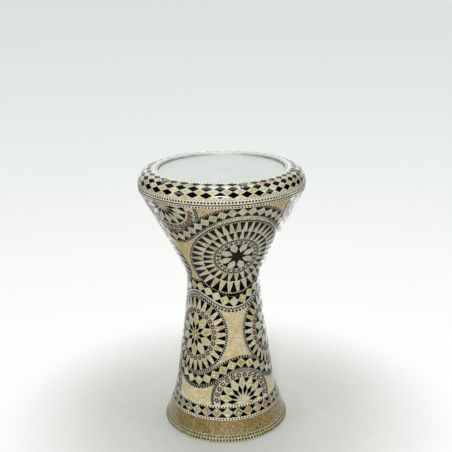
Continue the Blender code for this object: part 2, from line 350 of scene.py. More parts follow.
def crushed_pearl(name, deep, mid, pale, grain=0.0021, stretch=1.0, cloud=26.0,
                  patch=None, patches=0.0, patch_scale=70.0, green=None):
    """Chips of shell set in tinted resin and polished flat.  grain is the chip size
    in metres; patch and green are the colours of two sets of cloudy patches, and
    patches is their strength."""
    material, nodes, bsdf = new_material(name)
    vector = nodes.coords((1, 1, stretch))
    chips = nodes.add("TexVoronoi", Vector=vector, Scale=1 / grain, Randomness=1.0)
    crumbs = nodes.add("TexVoronoi", Vector=vector, Scale=2.6 / grain, Randomness=1.0)
    joints = nodes.add("TexVoronoi", Vector=vector, Scale=1 / grain, Randomness=1.0,
                       feature='DISTANCE_TO_EDGE')
    broad = nodes.noise(vector, Scale=cloud, Detail=4.0, Roughness=0.6)
    fine = nodes.noise(vector, Scale=1300.0, Detail=3.0, Roughness=0.7)
    chip = nodes.split(chips.outputs["Color"])
    crumb = nodes.split(crumbs.outputs["Color"])
    # shade: 0.55 chip + 0.30 crumb + 0.55 cloud - 0.20
    shade = nodes.math('MULTIPLY', chip[0], 0.55)
    shade = nodes.math('MULTIPLY_ADD', crumb[1], 0.30, shade)
    shade = nodes.math('MULTIPLY_ADD', broad, 0.55, shade)
    shade = nodes.math('SUBTRACT', shade, 0.20)
    colour = nodes.ramp(shade, (0.0, srgb(*deep)), (0.45, srgb(*mid)), (0.85, srgb(*pale)),
                        (1.0, srgb(*pale)))
    joint = nodes.ramp(joints.outputs["Distance"], (0.0, srgb(*[x * 0.72 for x in deep])),
                       (0.10, grey(1)))
    colour = nodes.mix(colour, joint, 0.35, 'MULTIPLY')
    if patch:
        where = nodes.noise(vector, Scale=patch_scale, Detail=4.0, Roughness=0.62)
        amount = nodes.ramp(where, (0.47, grey(0)), (0.62, grey(patches)))
        colour = nodes.mix(colour, nodes.mix(srgb(*patch), colour, 0.45), amount)
    if green:
        moved = nodes.add("Mapping", Location=(3.1, 1.7, 5.3), Vector=vector)
        where = nodes.noise(moved.outputs["Vector"], Scale=patch_scale * 0.8, Detail=3.0,
                            Roughness=0.6)
        amount = nodes.ramp(where, (0.50, grey(0)), (0.64, grey(patches * 0.9)))
        colour = nodes.mix(colour, nodes.mix(srgb(*green), colour, 0.4), amount)
    # painted sparkle: a few bright specks painted into the colour as glints of light
    painted_sparkle = nodes.ramp(crumb[2], (0.955, grey(0)), (0.985, grey(0.6)))
    colour = nodes.mix(colour, srgb(246, 240, 220), painted_sparkle)
    nodes.set(bsdf, Base_Color=colour, Roughness=nodes.spread(chip[2], target=(0.20, 0.50)),
              Specular_IOR_Level=0.16,
              Normal=nodes.bump(fine, strength=0.12, distance=0.0004))
    lacquer(nodes, bsdf)
    return material


def resin_material(name, spread=0.25):
    """Dark horn or resin pieces: nearly black with cloudy depth."""
    material, nodes, bsdf = new_material(name)
    tint = nodes.tint()
    cloud = nodes.noise(nodes.coords(), Scale=420.0, Detail=4.0, Roughness=0.6)
    shade = nodes.ramp(cloud, (0.35, grey(1 - spread)),
                       (0.7, (1 + spread, 1 + spread * 0.8, 1 + spread * 0.7)))
    nodes.set(bsdf, Base_Color=nodes.mix(tint["Color"], shade, 1.0, 'MULTIPLY'),
              Roughness=nodes.spread(cloud, target=(0.30, 0.50)), Specular_IOR_Level=0.0)
    lacquer(nodes, bsdf, ior=1.33)
    return material


def metal_material(name, colour, rough, grain, bump, scale=(1, 1, 1)):
    material, nodes, bsdf = new_material(name)
    vector = nodes.coords(scale)
    fine = nodes.noise(vector, Scale=grain, Detail=6.0, Roughness=0.65)
    broad = nodes.noise(vector, Scale=grain * 0.12, Detail=3.0)
    base = srgb(*colour)
    shade = nodes.ramp(broad, (0.3, tuple(x * 0.80 for x in base)),
                       (0.7, tuple(min(1, x * 1.12) for x in base)))
    nodes.set(bsdf, Base_Color=shade, Metallic=1.0,
              Roughness=nodes.spread(fine, target=(rough * 0.75, rough * 1.3)))
    if bump:
        nodes.set(bsdf, Normal=nodes.bump(fine, strength=bump, distance=0.0006))
    return material


def film_material():
    """Translucent white synthetic head: faint clouding and a fine matt grain."""
    material, nodes, bsdf = new_material("head_film")
    vector = nodes.coords()
    cloud = nodes.noise(vector, Scale=14.0, Detail=5.0, Roughness=0.55)
    fine = nodes.noise(vector, Scale=1600.0, Detail=2.0)
    nodes.set(bsdf,
              Base_Color=nodes.ramp(cloud, (0.3, srgb(189, 196, 190)), (0.7, srgb(198, 203, 199))),
              Roughness=nodes.spread(fine, target=(0.26, 0.40)),
              Normal=nodes.bump(fine, strength=0.05, distance=0.0002),
              Subsurface_Weight=0.15, Subsurface_Radius=(0.004, 0.004, 0.004),
              Subsurface_Scale=0.5)
    return material


PEARL = pearl_material("pearl_pieces")
GROUT_PEARL = pearl_material("inlay_grout", depth=0.35)
RESIN = resin_material("black_pieces")
BEADS = resin_material("flower_pieces", spread=0.35)
TAN = crushed_pearl("crushed_pearl_gold", deep=(150, 122, 70), mid=(198, 176, 124),
                    pale=(226, 214, 176), patch=(196, 152, 84), patches=0.55, patch_scale=85.0)
PALE = crushed_pearl("crushed_pearl_pale", deep=(178, 154, 104), mid=(208, 195, 152),
                     pale=(228, 221, 192), patch=(190, 144, 64), patches=0.70, patch_scale=84.0)
BROWN = crushed_pearl("crushed_pearl_brown", deep=(84, 69, 34), mid=(126, 109, 64),
                      pale=(174, 157, 110), grain=0.0019, stretch=0.9, cloud=34.0,
                      patch=(154, 110, 52), patches=0.70, patch_scale=82.0, green=(106, 99, 60))
STRIP = crushed_pearl("strip_ground", deep=(208, 202, 174), mid=(228, 223, 200),
                      pale=(240, 237, 220), grain=0.0035)
RHOMB_BAND = crushed_pearl("band_ground", deep=(168, 160, 124), mid=(192, 185, 150),
                           pale=(212, 207, 180), grain=0.0035)
OLIVE_STRIP = crushed_pearl("base_strip_ground", deep=(138, 131, 94), mid=(166, 159, 120),
                            pale=(190, 184, 148), grain=0.0035, patch=(150, 138, 88),
                            patches=0.4)
CAST = metal_material("cast_aluminium", (176, 176, 172), rough=0.50, grain=900.0, bump=0.35)
RING_METAL = metal_material("ring_aluminium", (206, 207, 204), rough=0.55, grain=1400.0,
                            bump=0.05)
HOOP_METAL = metal_material("hoop_aluminium", (206, 206, 206), rough=0.28, grain=1500.0,
                            bump=0.04, scale=(1, 1, 12))
CHROME = metal_material("chrome", (228, 230, 232), rough=0.10, grain=1200.0, bump=0.0)
SCREW_METAL = metal_material("screw_chrome", (142, 144, 140), rough=0.20, grain=1200.0,
                             bump=0.0)
STEEL = metal_material("insert_steel", (160, 160, 162), rough=0.30, grain=1500.0, bump=0.05,
                       scale=(1, 1, 10))
FILM = film_material()


# ================================================================ turned pieces
def add_object(name, data):
    made = bpy.data.objects.new(name, data)
    bpy.context.scene.collection.objects.link(made)
    return made


def cylinder(name, radius, low, high, centre, segments=40):
    bm = bmesh.new()
    bmesh.ops.create_cone(bm, cap_ends=True, segments=segments, radius1=radius * MM,
                          radius2=radius * MM, depth=(high - low) * MM)
    bmesh.ops.translate(bm, verts=bm.verts,
                        vec=(centre[0] * MM, centre[1] * MM, (low + high) / 2 * MM))
    mesh = bpy.data.meshes.new(name)
    bm.to_mesh(mesh)
    bm.free()
    made = add_object(name, mesh)
    made.hide_render = True
    return made


def cut_holes(target, holes):
    """holes are (x, y, radius, low z, high z)."""
    cutters = []
    for k, (x, y, radius, low, high) in enumerate(holes):
        cutter = cylinder("cut_%s_%d" % (target.name, k), radius, low, high, (x, y))
        modifier = target.modifiers.new("cut", 'BOOLEAN')
        modifier.operation = 'DIFFERENCE'
        modifier.object = cutter
        cutters.append(cutter)
    bpy.context.view_layer.update()
    graph = bpy.context.evaluated_depsgraph_get()
    mesh = bpy.data.meshes.new_from_object(target.evaluated_get(graph))
    target.modifiers.clear()
    target.data = mesh
    for cutter in cutters:
        bpy.data.objects.remove(cutter)


def turned(name, outline, material, body, replaces, slot, segments, centre=(0.0, 0.0),
           closed=True, holes=()):
    """outline (radius, z) runs down the outer side and up the inner side."""
    circle = np.arange(segments) / segments * TAU
    points, rows = [], []
    for radius, z in outline:
        if radius < 1e-6:
            rows.append([len(points)] * segments)
            points.append((0.0, 0.0, z))
        else:
            rows.append(list(range(len(points), len(points) + segments)))
            points.extend([(radius * math.cos(a), radius * math.sin(a), z) for a in circle])
    faces = []
    for row, below in zip(rows, rows[1:] + (rows[:1] if closed else [])):
        for i in range(segments):
            j = (i + 1) % segments
            # a corner on the axis appears once
            faces.append(tuple(dict.fromkeys((row[i], below[i], below[j], row[j]))))
    mesh = bpy.data.meshes.new(name)
    mesh.from_pydata([(x * MM, y * MM, z * MM) for x, y, z in points], [], faces)
    mesh.update()
    mesh.materials.append(material)
    made = add_object(name, mesh)
    if holes:
        cut_holes(made, holes)
    made.data.shade_smooth()
    made.data.set_sharp_from_angle(angle=math.radians(32.0))
    made.location = (centre[0] * MM, centre[1] * MM, 0.0)
    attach(made, body)
    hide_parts(replaces)


def fillet(centre_r, centre_z, radius, start, end, steps):
    """Points of an arc; angles in degrees, 0 outwards and 90 upwards."""
    turns = [math.radians(start + (end - start) * i / steps) for i in range(steps + 1)]
    return [(centre_r + radius * math.cos(a), centre_z + radius * math.sin(a)) for a in turns]


def rounded_ring(inner, outer, low, high, radius, steps):
    """A section with round corners, given by the centres of its corners."""
    return (fillet(outer, high, radius, 90, 0, steps) + fillet(outer, low, radius, 0, -90, steps)
            + fillet(inner, low, radius, -90, -180, steps)
            + fillet(inner, high, radius, 180, 90, steps))


def make_shell():
    """The casting, bare inside and under the inlay."""
    outer = [(137.6, 428.8)]
    outer += [BODY.section(a, -SKIN) for a in np.linspace(body_arc(428.2), body_arc(1.4), 110)]
    foot_r = outer[-1][0]
    outer += fillet(foot_r - 1.2, 1.2, 1.2, 0, -90, 4)[1:]
    inner = fillet(foot_r - 5.0, 1.8, 1.8, -90, -180, 4)
    inner += [BODY.section(a, -SKIN - WALL)
              for a in np.linspace(body_arc(12.0), body_arc(388.0), 90)]
    inner += fillet(110.0, 409.0, 5.0, 0, 60, 5)
    inner += [(103.2, 420.0), (101.0, 423.5), (100.3, 428.0), (100.3, 451.2)]
    lip = fillet(102.6, 451.4, 2.3, 180, 90, 6) + fillet(104.0, 452.9, 0.8, 90, 0, 4)
    ledge = [(104.8, 452.0), (104.8, 430.0), (105.4, 428.8)]
    turned("shell_casting_body", ledge + outer + inner + lip, CAST, "shell", "shell_casting",
           "cast_aluminium", segments=224,
           holes=[(x, y, 4.95, 415.0, 435.0) for _, _, (x, y) in BOLTS])


def make_tension_ring():
    outer = [RIM.section(a, -SKIN) for a in np.linspace(0.4, RIM.length - 1.6, 90)[::-1]]
    outline = (fillet(RING_BORE_R + 1.1, RIM_TOP_Z - SKIN - 0.6, 1.1, 180, 90, 5) + outer
               + [(138.0, SEAM_Z), (131.4, SEAM_Z), (131.4, 439.8)]
               + fillet(130.0, 440.4, 1.4, 0, 90, 4)
               + [(RING_BORE_R + 0.5, 441.8), (RING_BORE_R, 442.3)])
    holes = []
    for _, _, (x, y) in BOLTS:
        holes += [(x, y, RECESS_R, SEAT_Z, 470.0), (x, y, 3.4, 436.0, 450.0)]
    turned("tension_ring_body", outline, RING_METAL, "ring", "tension_ring", "ring_metal",
           segments=224, holes=holes)


def ground(name, surface, low, high, step, material, replaces, slot, holes=()):
    """The layer of resin that carries an inlay, between two arc lengths."""
    count = max(2, math.ceil((high - low) / step))
    arcs = np.linspace(high, low, count + 1)
    outline = ([surface.section(a, TOP_GROUND) for a in arcs]
               + [surface.section(a, BOTTOM_GROUND) for a in arcs[::-1]])
    turned(name, outline, material, "ring" if surface is RIM else "shell", replaces, slot,
           segments=240, holes=holes)


def make_grounds():
    ground("rim_field_ground", RIM, RIM_LOW + 0.02, RIM_HIGH - 0.02, 1.6, STRIP, "rim_mosaic",
           "pearl", holes=[(x, y, RECESS_R, 440.0, 470.0) for _, _, (x, y) in BOLTS])
    ground("rim_inner_strip_ground", RIM, RIM_HIGH + 0.02, RIM.length - 0.9, 1.2, STRIP,
           "rim_inner_dot_strip", "dot_strip")
    ground("rim_lower_strip_ground", RIM, 0.5, RIM_LOW - 0.02, 1.5, STRIP,
           "rim_lower_dot_strip", "dot_strip")
    # name, low z, high z, step along the outline, material, CAD piece, slot
    for name, low, high, step, material, replaces, slot in (
            ("bowl_strip_ground", 424.2, 428.7, 1.5, STRIP, "bowl_top_dot_strip", "dot_strip"),
            ("bowl_ground", 262.0, 424.18, 3.0, TAN, "bowl_mosaic", "tan_pearl"),
            ("neck_ground", 60.0, 261.98, 3.0, PALE, "neck_mosaic", "tan_pearl"),
            ("foot_upper_strip_ground", 56.4, 59.98, 1.5, STRIP, "foot_upper_dot_strip",
             "dot_strip"),
            ("foot_band_ground", 39.6, 56.38, 3.0, RHOMB_BAND, "foot_rhomb_band", "pearl"),
            ("foot_lower_strip_ground", 36.0, 39.58, 1.5, STRIP, "foot_lower_dot_strip",
             "dot_strip"),
            ("foot_pearl_ground", 13.0, 35.98, 3.0, BROWN, "foot_pearl_band", "brown_pearl"),
            ("foot_base_strip_ground", 1.6, 12.98, 3.0, OLIVE_STRIP, "foot_base_dot_strip",
             "dot_strip")):
        ground(name, BODY, body_arc(low), body_arc(high), step, material, replaces, slot)


def make_head():
    """The film, with its turned-down skirt, and the hoop below its edge."""
    skirt_r, top_z, bottom_z, thickness = 105.1, 454.5, 434.8, 0.5
    steps = (20, 40, 60, 80, 95)
    outline = [(0.0, top_z)] + [(r, top_z) for r in steps]
    outline += fillet(skirt_r + thickness - 1.4, top_z - 1.4, 1.4, 90, 0, 6)
    outline += [(skirt_r + thickness, bottom_z), (skirt_r, bottom_z)]
    outline += fillet(skirt_r - 1.0, top_z - 1.5, 1.0, 0, 90, 5)
    outline += [(r, top_z - thickness) for r in steps[::-1]] + [(0.0, top_z - thickness)]
    turned("drum_head_film", outline, FILM, "shell", "drum_head", "head_film", segments=256,
           closed=False)
    hoop = rounded_ring(inner=106.7, outer=110.4, low=435.3, high=440.7, radius=0.8, steps=4)
    turned("flesh_hoop_body", hoop, HOOP_METAL, "ring", "flesh_hoop", "hoop_metal",
           segments=224)


make_shell()
make_tension_ring()
make_grounds()
make_head()


# ================================================================= inlay pieces
class Pile:
    """Closed thin solids gathered into one object, with exact surface normals on
    their upper faces and one tint for each solid."""

    def __init__(self):
        self.points, self.normals, self.tints = [], [], []
        self.faces, self.upper = [], []
        self.count = 0

    def add(self, surface, angles, arcs, top, bottom, colour, faces, under=slice(None),
            edge=None):
        """Top points, then bottom points below those picked by under.  edge says for
        each point how near it is to the piece's edge (1 on it)."""
        normals = surface.normal(angles, arcs)
        points = np.concatenate([surface.point(angles, arcs, top),
                                 surface.point(angles[under], arcs[under], bottom)])
        tint = np.tile(np.array([*colour, 0.4]), (len(points), 1))
        if edge is not None:
            tint[:, 3] = np.concatenate([edge, edge[under]])
        self.points.append(points)
        self.normals.append(np.concatenate([normals, normals[under]]))
        self.tints.append(tint)
        self.faces.extend([tuple(i + self.count for i in face) for face in faces])
        self.upper.extend([max(face) < len(angles) for face in faces])
        self.count += len(points)

    def build(self, name, material, body, slot):
        points = np.concatenate(self.points) * MM
        sizes = np.array([len(face) for face in self.faces], np.int32)
        corners = np.fromiter((i for face in self.faces for i in face), np.int32,
                              int(sizes.sum()))
        mesh = bpy.data.meshes.new(name)
        mesh.vertices.add(len(points))
        mesh.vertices.foreach_set("co", points.astype(np.float32).ravel())
        mesh.loops.add(len(corners))
        mesh.loops.foreach_set("vertex_index", corners)
        mesh.polygons.add(len(sizes))
        starts = np.concatenate([[0], np.cumsum(sizes)[:-1]]).astype(np.int32)
        mesh.polygons.foreach_set("loop_start", starts)
        mesh.update(calc_edges=True)
        mesh.validate()
        mesh.polygons.foreach_set("use_smooth", np.ones(len(sizes), bool))
        flat = np.zeros(len(sizes) * 3, np.float32)
        mesh.polygons.foreach_get("normal", flat)
        upper = np.repeat(np.array(self.upper, bool), sizes)
        normals = np.where(upper[:, None], np.concatenate(self.normals)[corners],
                           np.repeat(flat.reshape(-1, 3), sizes, axis=0))
        mesh.normals_split_custom_set([tuple(x) for x in normals.tolist()])
        tint = mesh.attributes.new("tint", 'FLOAT_COLOR', 'POINT')
        tint.data.foreach_set("color", np.concatenate(self.tints).astype(np.float32).ravel())
        mesh.materials.append(material)
        made = add_object(name, mesh)
        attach(made, body)


def densify(outline, step):
    """The outline with its sides divided so that no part is longer than step."""
    points = []
    for i in range(len(outline)):
        start = np.array(outline[i], float)
        end = np.array(outline[(i + 1) % len(outline)], float)
        parts = max(1, math.ceil(np.linalg.norm(end - start) / step))
        points.extend(start + (end - start) * j / parts for j in range(parts))
    return np.array(points)


def area(outline):
    points = np.asarray(outline)
    x, y = points[:, 0], points[:, 1]
    return 0.5 * float(np.sum(x * np.roll(y, -1) - np.roll(x, -1) * y))


def tile(pile, surface, place, outline, top, bottom, colour, step=3.2):
    """One convex tile.  outline holds local points; place maps them to angles and arcs."""
    outline = np.asarray(outline, float)
    signed = area(outline)
    if abs(signed) < 0.02:
        return
    if signed < 0:
        outline = outline[::-1]
    border = densify(outline, step)
    count = len(border)
    centre = border.mean(0)
    reach = float(np.max(np.linalg.norm(border - centre, axis=1)))
    rings = 0 if reach < 1.6 else max(1, math.ceil(reach / (step * 1.35)))
    if rings == 0:
        local = border
        edge = np.full(count, 0.4)
        under = np.arange(count)
        faces = [tuple(range(count))]
    else:
        local = np.concatenate([centre + (border - centre) * (j / rings)
                                for j in range(rings, 0, -1)] + [centre[None]])
        edge = np.concatenate([np.repeat(np.arange(rings, 0, -1) / rings, count), [0.0]])
        under = np.concatenate([np.arange(count), [len(local) - 1]])
        faces = []
        for j in range(rings - 1):
            outer, inner = j * count, (j + 1) * count
            for i in range(count):
                q = (i + 1) % count
                faces.append((outer + i, outer + q, inner + q, inner + i))
        last = (rings - 1) * count
        for i in range(count):
            faces.append((last + i, last + (i + 1) % count, len(local) - 1))
    base = len(local)
    for i in range(count):
        q = (i + 1) % count
        faces.append((i, base + i, base + q, q))
        if rings:
            faces.append((base + q, base + i, base + count))
    if not rings:
        faces.append(tuple(range(base + count - 1, base - 1, -1)))
    angles, arcs = place(local)
    pile.add(surface, angles, arcs, top, bottom, colour, faces, under, edge)


def strip(pile, surface, lower, upper, top, colour, across=2, closed=True):
    """A ribbon between two edges, each given as (angles, arcs)."""
    count = len(lower[0])
    shares = np.linspace(0, 1, across + 1)
    angles = np.concatenate([(1 - f) * lower[0] + f * upper[0] for f in shares])
    arcs = np.concatenate([(1 - f) * lower[1] + f * upper[1] for f in shares])
    base = len(angles)
    columns = count if closed else count - 1
    last = across * count
    faces = []
    for j in range(across):
        for i in range(columns):
            q = (i + 1) % count
            quad = (j * count + i, j * count + q, (j + 1) * count + q, (j + 1) * count + i)
            faces.append(quad)
            faces.append(tuple(base + corner for corner in quad[::-1]))
    for i in range(columns):
        q = (i + 1) % count
        faces.append((i, base + i, base + q, q))
        faces.append((last + q, base + last + q, base + last + i, last + i))
    if not closed:
        for j in range(across):
            here, above = j * count, (j + 1) * count
            faces.append((here, above, base + above, base + here))
            here, above = here + count - 1, above + count - 1
            faces.append((above, here, base + here, base + above))
    pile.add(surface, angles, arcs, top, BOTTOM_TILE, colour, faces)


def keep_side(outline, normal_x, normal_y, limit):
    """The part of a convex polygon with normal . point <= limit."""
    kept = []
    for i in range(len(outline)):
        start, end = outline[i], outline[(i + 1) % len(outline)]
        from_start = normal_x * start[0] + normal_y * start[1] - limit
        from_end = normal_x * end[0] + normal_y * end[1] - limit
        if from_start <= 0:
            kept.append(start)
        if (from_start < 0 < from_end) or (from_end < 0 < from_start):
            share = from_start / (from_start - from_end)
            kept.append((start[0] + (end[0] - start[0]) * share,
                         start[1] + (end[1] - start[1]) * share))
    return kept


def minus(outline, hole):
    """Convex pieces of a convex polygon outside a convex counter-clockwise hole."""
    pieces, rest = [], [tuple(p) for p in outline]
    for i in range(len(hole)):
        (x0, y0), (x1, y1) = hole[i], hole[(i + 1) % len(hole)]
        normal_x, normal_y = y1 - y0, -(x1 - x0)
        limit = normal_x * x0 + normal_y * y0
        part = keep_side(rest, -normal_x, -normal_y, -limit)
        if len(part) > 2 and abs(area(part)) > 0.05:
            pieces.append(part)
        rest = keep_side(rest, normal_x, normal_y, limit)
        if len(rest) < 3:
            break
    return pieces


# ============================================== local frames and simple shapes
def medallion(degrees, z, wide=1.0, tall=1.0):
    """A frame on the body round a centre: x goes round, y goes up the outline."""
    centre_angle, centre_arc = math.radians(degrees), float(body_arc(z))

    def place(points):
        points = np.asarray(points, float)
        arcs = centre_arc + points[:, 1] * tall
        return centre_angle + points[:, 0] * wide / BODY.radius(arcs), arcs
    return place


def flat_place(reference_r):
    """A frame where x is an angle times reference_r and y is the arc length."""
    def place(points):
        points = np.asarray(points, float)
        return points[:, 0] / reference_r, points[:, 1]
    return place


def polar(radius, turn):
    return (radius * math.sin(turn), radius * math.cos(turn))


def circle_points(radius, turns):
    return np.stack([radius * np.sin(turns), radius * np.cos(turns)], -1)


def facing(points, turn):
    """Points given as (out, across) turned to a direction (0 is up)."""
    sine, cosine = math.sin(turn), math.cos(turn)
    return [(out * sine + across * cosine, out * cosine - across * sine)
            for out, across in points]


def kite(near, widest, far, half):
    return [(near, 0.0), (widest, half), (far, 0.0), (widest, -half)]


def dart(tip, base, half):
    return [(tip, 0.0), (base, half), (base, -half)]


def polygon(x, y, radius, sides, turn):
    return [(x + radius * math.cos(turn + TAU * i / sides),
             y + radius * math.sin(turn + TAU * i / sides)) for i in range(sides)]


def slip(width, height, corner=0.32):
    """A rectangle with its corners knocked off."""
    x, y, keep = 0.5 * width, 0.5 * height, 1 - corner
    return [(x, -y * keep), (x, y * keep), (x * keep, y), (-x * keep, y),
            (-x, y * keep), (-x, -y * keep), (-x * keep, -y), (x * keep, -y)]


class Band:
    """A wandering band round the body: x runs along its centre line in mm, y across."""

    def __init__(self, centre_z, count=1440):
        angles = np.linspace(0, TAU, count + 1)
        arcs = body_arc(centre_z(angles))
        radii = BODY.radius(arcs)
        middle = 0.5 * (radii[1:] + radii[:-1])
        lengths = np.hypot(middle * np.diff(angles), np.diff(arcs))
        self.x = np.concatenate([[0], np.cumsum(lengths)])
        self.angles, self.arcs = angles, arcs
        self.length = self.x[-1]
        along, rise = np.gradient(angles) * radii, np.gradient(arcs)
        rise[0] = rise[-1] = (arcs[1] - arcs[-2]) / 2
        along[0] = along[-1] = along[1]
        size = np.hypot(along, rise)
        self.along, self.rise = along / size, rise / size

    def place(self, points):
        points = np.asarray(points, float)
        x, y = points[:, 0], points[:, 1]
        turns = np.floor(x / self.length)
        x = x - turns * self.length
        angle = np.interp(x, self.x, self.angles) + turns * TAU
        arc = np.interp(x, self.x, self.arcs)
        along, rise = np.interp(x, self.x, self.along), np.interp(x, self.x, self.rise)
        moved = arc + along * y
        return angle - rise * y / BODY.radius(0.5 * (arc + moved)), moved

    def x_at(self, degrees):
        return float(np.interp(math.radians(degrees) % TAU, self.angles, self.x))


# ======================================================================= layers
# pile: material and slot, in the order the objects are made
PILE_LOOKS = {"pearl": (PEARL, "pearl"), "black": (RESIN, "black_inlay"),
              "ink": (RESIN, "black_inlay"), "beads": (BEADS, "brown_pearl"),
              "grout": (GROUT_PEARL, "pearl")}


class Layer:
    """The inlay of one region, cut off at its lowest and highest arc length."""

    def __init__(self, surface, low=-math.inf, high=math.inf):
        self.surface, self.low, self.high = surface, low, high
        self.piles = {kind: Pile() for kind in PILE_LOOKS}

    def within(self, arcs):
        return arcs.min() >= self.low and arcs.max() <= self.high

    def whole(self, place, outline):
        return self.within(place(outline)[1])

    def clipped(self, place, outline):
        """The outline cut at the region's ends, or None when little is left."""
        arcs = place(outline)[1]
        if self.within(arcs):
            return outline
        if arcs.max() <= self.low + 0.2 or arcs.min() >= self.high - 0.2:
            return None
        kept = [tuple(p) for p in outline]
        for limit, sign in ((self.low, -1.0), (self.high, 1.0)):
            if not math.isinf(limit) and len(kept) >= 3:
                kept = self.cut_at(place, kept, limit, sign)
        if len(kept) < 3 or abs(area(kept)) < 0.25:
            return None
        return kept

    @staticmethod
    def cut_at(place, outline, limit, sign):
        kept = []
        arcs = place(np.array(outline, float))[1]
        count = len(outline)
        for i in range(count):
            start, end = outline[i], outline[(i + 1) % count]
            over_start = sign * (arcs[i] - limit)
            over_end = sign * (arcs[(i + 1) % count] - limit)
            if over_start <= 0:
                kept.append(start)
            if (over_start < 0 < over_end) or (over_end < 0 < over_start):
                # halve the side until the crossing is found
                low, high = 0.0, 1.0
                for _ in range(18):
                    middle = 0.5 * (low + high)
                    point = (start[0] + (end[0] - start[0]) * middle,
                             start[1] + (end[1] - start[1]) * middle)
                    over = sign * (float(place(np.array([point]))[1][0]) - limit)
                    if (over < 0) == (over_start < 0):
                        low = middle
                    else:
                        high = middle
                middle = 0.5 * (low + high)
                kept.append((start[0] + (end[0] - start[0]) * middle,
                             start[1] + (end[1] - start[1]) * middle))
        return kept

    def put(self, kind, place, outline, colour, top=TOP_TILE, bottom=BOTTOM_TILE, step=3.2):
        outline = self.clipped(place, np.asarray(outline, float))
        if outline is not None:
            tile(self.piles[kind], self.surface, place, outline, top, bottom, colour, step)

    def black(self, place, outline):
        self.put("black", place, outline, vary(BLACK, 5))

    def pearl(self, place, outline, bold):
        self.put("pearl", place, outline, pearl_tint(bold))

    def bead(self, place, outline, colour):
        self.put("beads", place, outline, colour, bottom=BOTTOM_SLIP)

    def ribbon(self, kind, place, lower, upper, top, colour, across):
        """A closed ribbon, in short pieces where it crosses the region's end.  The
        last point of each edge closes the loop."""
        low_edge, high_edge = place(lower[:-1]), place(upper[:-1])
        if self.within(np.concatenate([low_edge[1], high_edge[1]])):
            strip(self.piles[kind], self.surface, low_edge, high_edge, top, colour, across)
            return
        for i in range(len(lower) - 1):
            quad = [lower[i], lower[i + 1], upper[i + 1], upper[i]]
            self.put(kind, place, quad, colour, top, step=6.0)

    def ring(self, kind, place, inner_r, outer_r, top, colour, count=180, across=2):
        turns = np.linspace(0, TAU, count, endpoint=False)
        turns = np.append(turns, turns[0])
        self.ribbon(kind, place, circle_points(inner_r, turns), circle_points(outer_r, turns),
                    top, colour, across)

    def band_strip(self, kind, band, edge, other_edge, top, colour, across=2, count=1080):
        x = np.arange(count + 1) * (band.length / count)
        lower, upper = [np.stack([x, np.full(count + 1, y)], -1)
                        for y in sorted((edge, other_edge))]
        self.ribbon(kind, band.place, lower, upper, top, colour, across)

    def disc(self, kind, place, radius, top, colour, rings=10, count=120):
        """A full disc; where it crosses the region's end it is cut in small squares."""
        turns = np.arange(count) / count * TAU
        points = np.concatenate([np.zeros((1, 2))] + [
            circle_points(r, turns) for r in np.linspace(0, radius, rings + 1)[1:]])
        angles, arcs = place(points)
        if not self.within(arcs):
            self.disc_squares(kind, place, radius, top, colour)
            return
        faces = []
        for i in range(count):
            q = (i + 1) % count
            faces.append((0, 1 + q, 1 + i))
            for j in range(rings - 1):
                inner, outer = 1 + j * count, 1 + (j + 1) * count
                faces.append((inner + i, inner + q, outer + q, outer + i))
        base = len(points)
        last = 1 + (rings - 1) * count
        faces += [tuple(base + corner for corner in face[::-1]) for face in faces]
        for i in range(count):
            q = (i + 1) % count
            faces.append((last + q, last + i, base + last + i, base + last + q))
        self.piles[kind].add(self.surface, angles, arcs, top, BOTTOM_TILE, colour, faces)

    def disc_squares(self, kind, place, radius, top, colour, side=2.6):
        count = math.ceil(radius / side)
        for row in range(-count, count):
            for column in range(-count, count):
                left, right = column * side, (column + 1) * side
                low, high = row * side, (row + 1) * side
                square = [(left, low), (right, low), (right, high), (left, high)]
                reach = [math.hypot(*p) for p in square]
                if min(reach) > radius:
                    continue
                if max(reach) > radius:
                    square = [p if r <= radius else (p[0] * radius / r, p[1] * radius / r)
                              for p, r in zip(square, reach)]
                    if abs(area(square)) < 0.05:
                        continue
                self.put(kind, place, square, colour, top, step=6.0)

    def build(self, prefix, body):
        for kind, (material, slot) in PILE_LOOKS.items():
            if self.piles[kind].count:
                self.piles[kind].build(prefix + "_" + kind, material, body, slot)


# ======================================================================= motifs
PETAL = [(1.36, 0.0), (0.86, 0.98), (-0.40, 1.02), (-1.25, 0.0), (-0.40, -1.02),
         (0.86, -0.98)]


def flower(layer, place, x, y, size, palette, gap):
    """Six petals round a heart, and two dark slips towards the next flower."""
    colour = rng.choice(palette)
    turn = jig(0.5)
    reach = 3.4 * size
    if not layer.whole(place, [(x - reach, y - reach), (x + reach, y + reach)]):
        return
    for i in range(6):
        angle = turn + TAU * i / 6
        cosine, sine = math.cos(angle), math.sin(angle)
        centre_x, centre_y = x + 2.14 * size * cosine, y + 2.14 * size * sine
        petal = [(centre_x + px * size * cosine - py * size * sine,
                  centre_y + px * size * sine + py * size * cosine) for px, py in PETAL]
        layer.bead(place, petal, vary(colour, 5))
    layer.bead(place, polygon(x, y, 0.74 * size, 6, turn), vary(rng.choice(FLOWER_HEARTS), 6))
    radius = math.hypot(x, y)
    out_x, out_y = x / radius, y / radius
    for side in (3.25, -3.25):
        slip_x = x + out_x * side * size + out_y * 0.5 * gap
        slip_y = y + out_y * side * size - out_x * 0.5 * gap
        layer.bead(place, polygon(slip_x, slip_y, 0.86 * size, 4, jig(0.7)),
                   vary((16, 12, 11), 4))


def flower_ring(layer, place, radius, count, size, palette, gap, looseness=0.02, phase=0.5):
    for k in range(count):
        x, y = polar(radius, TAU * (k + phase) / count)
        flower(layer, place, x, y, size + jig(looseness), palette, gap)


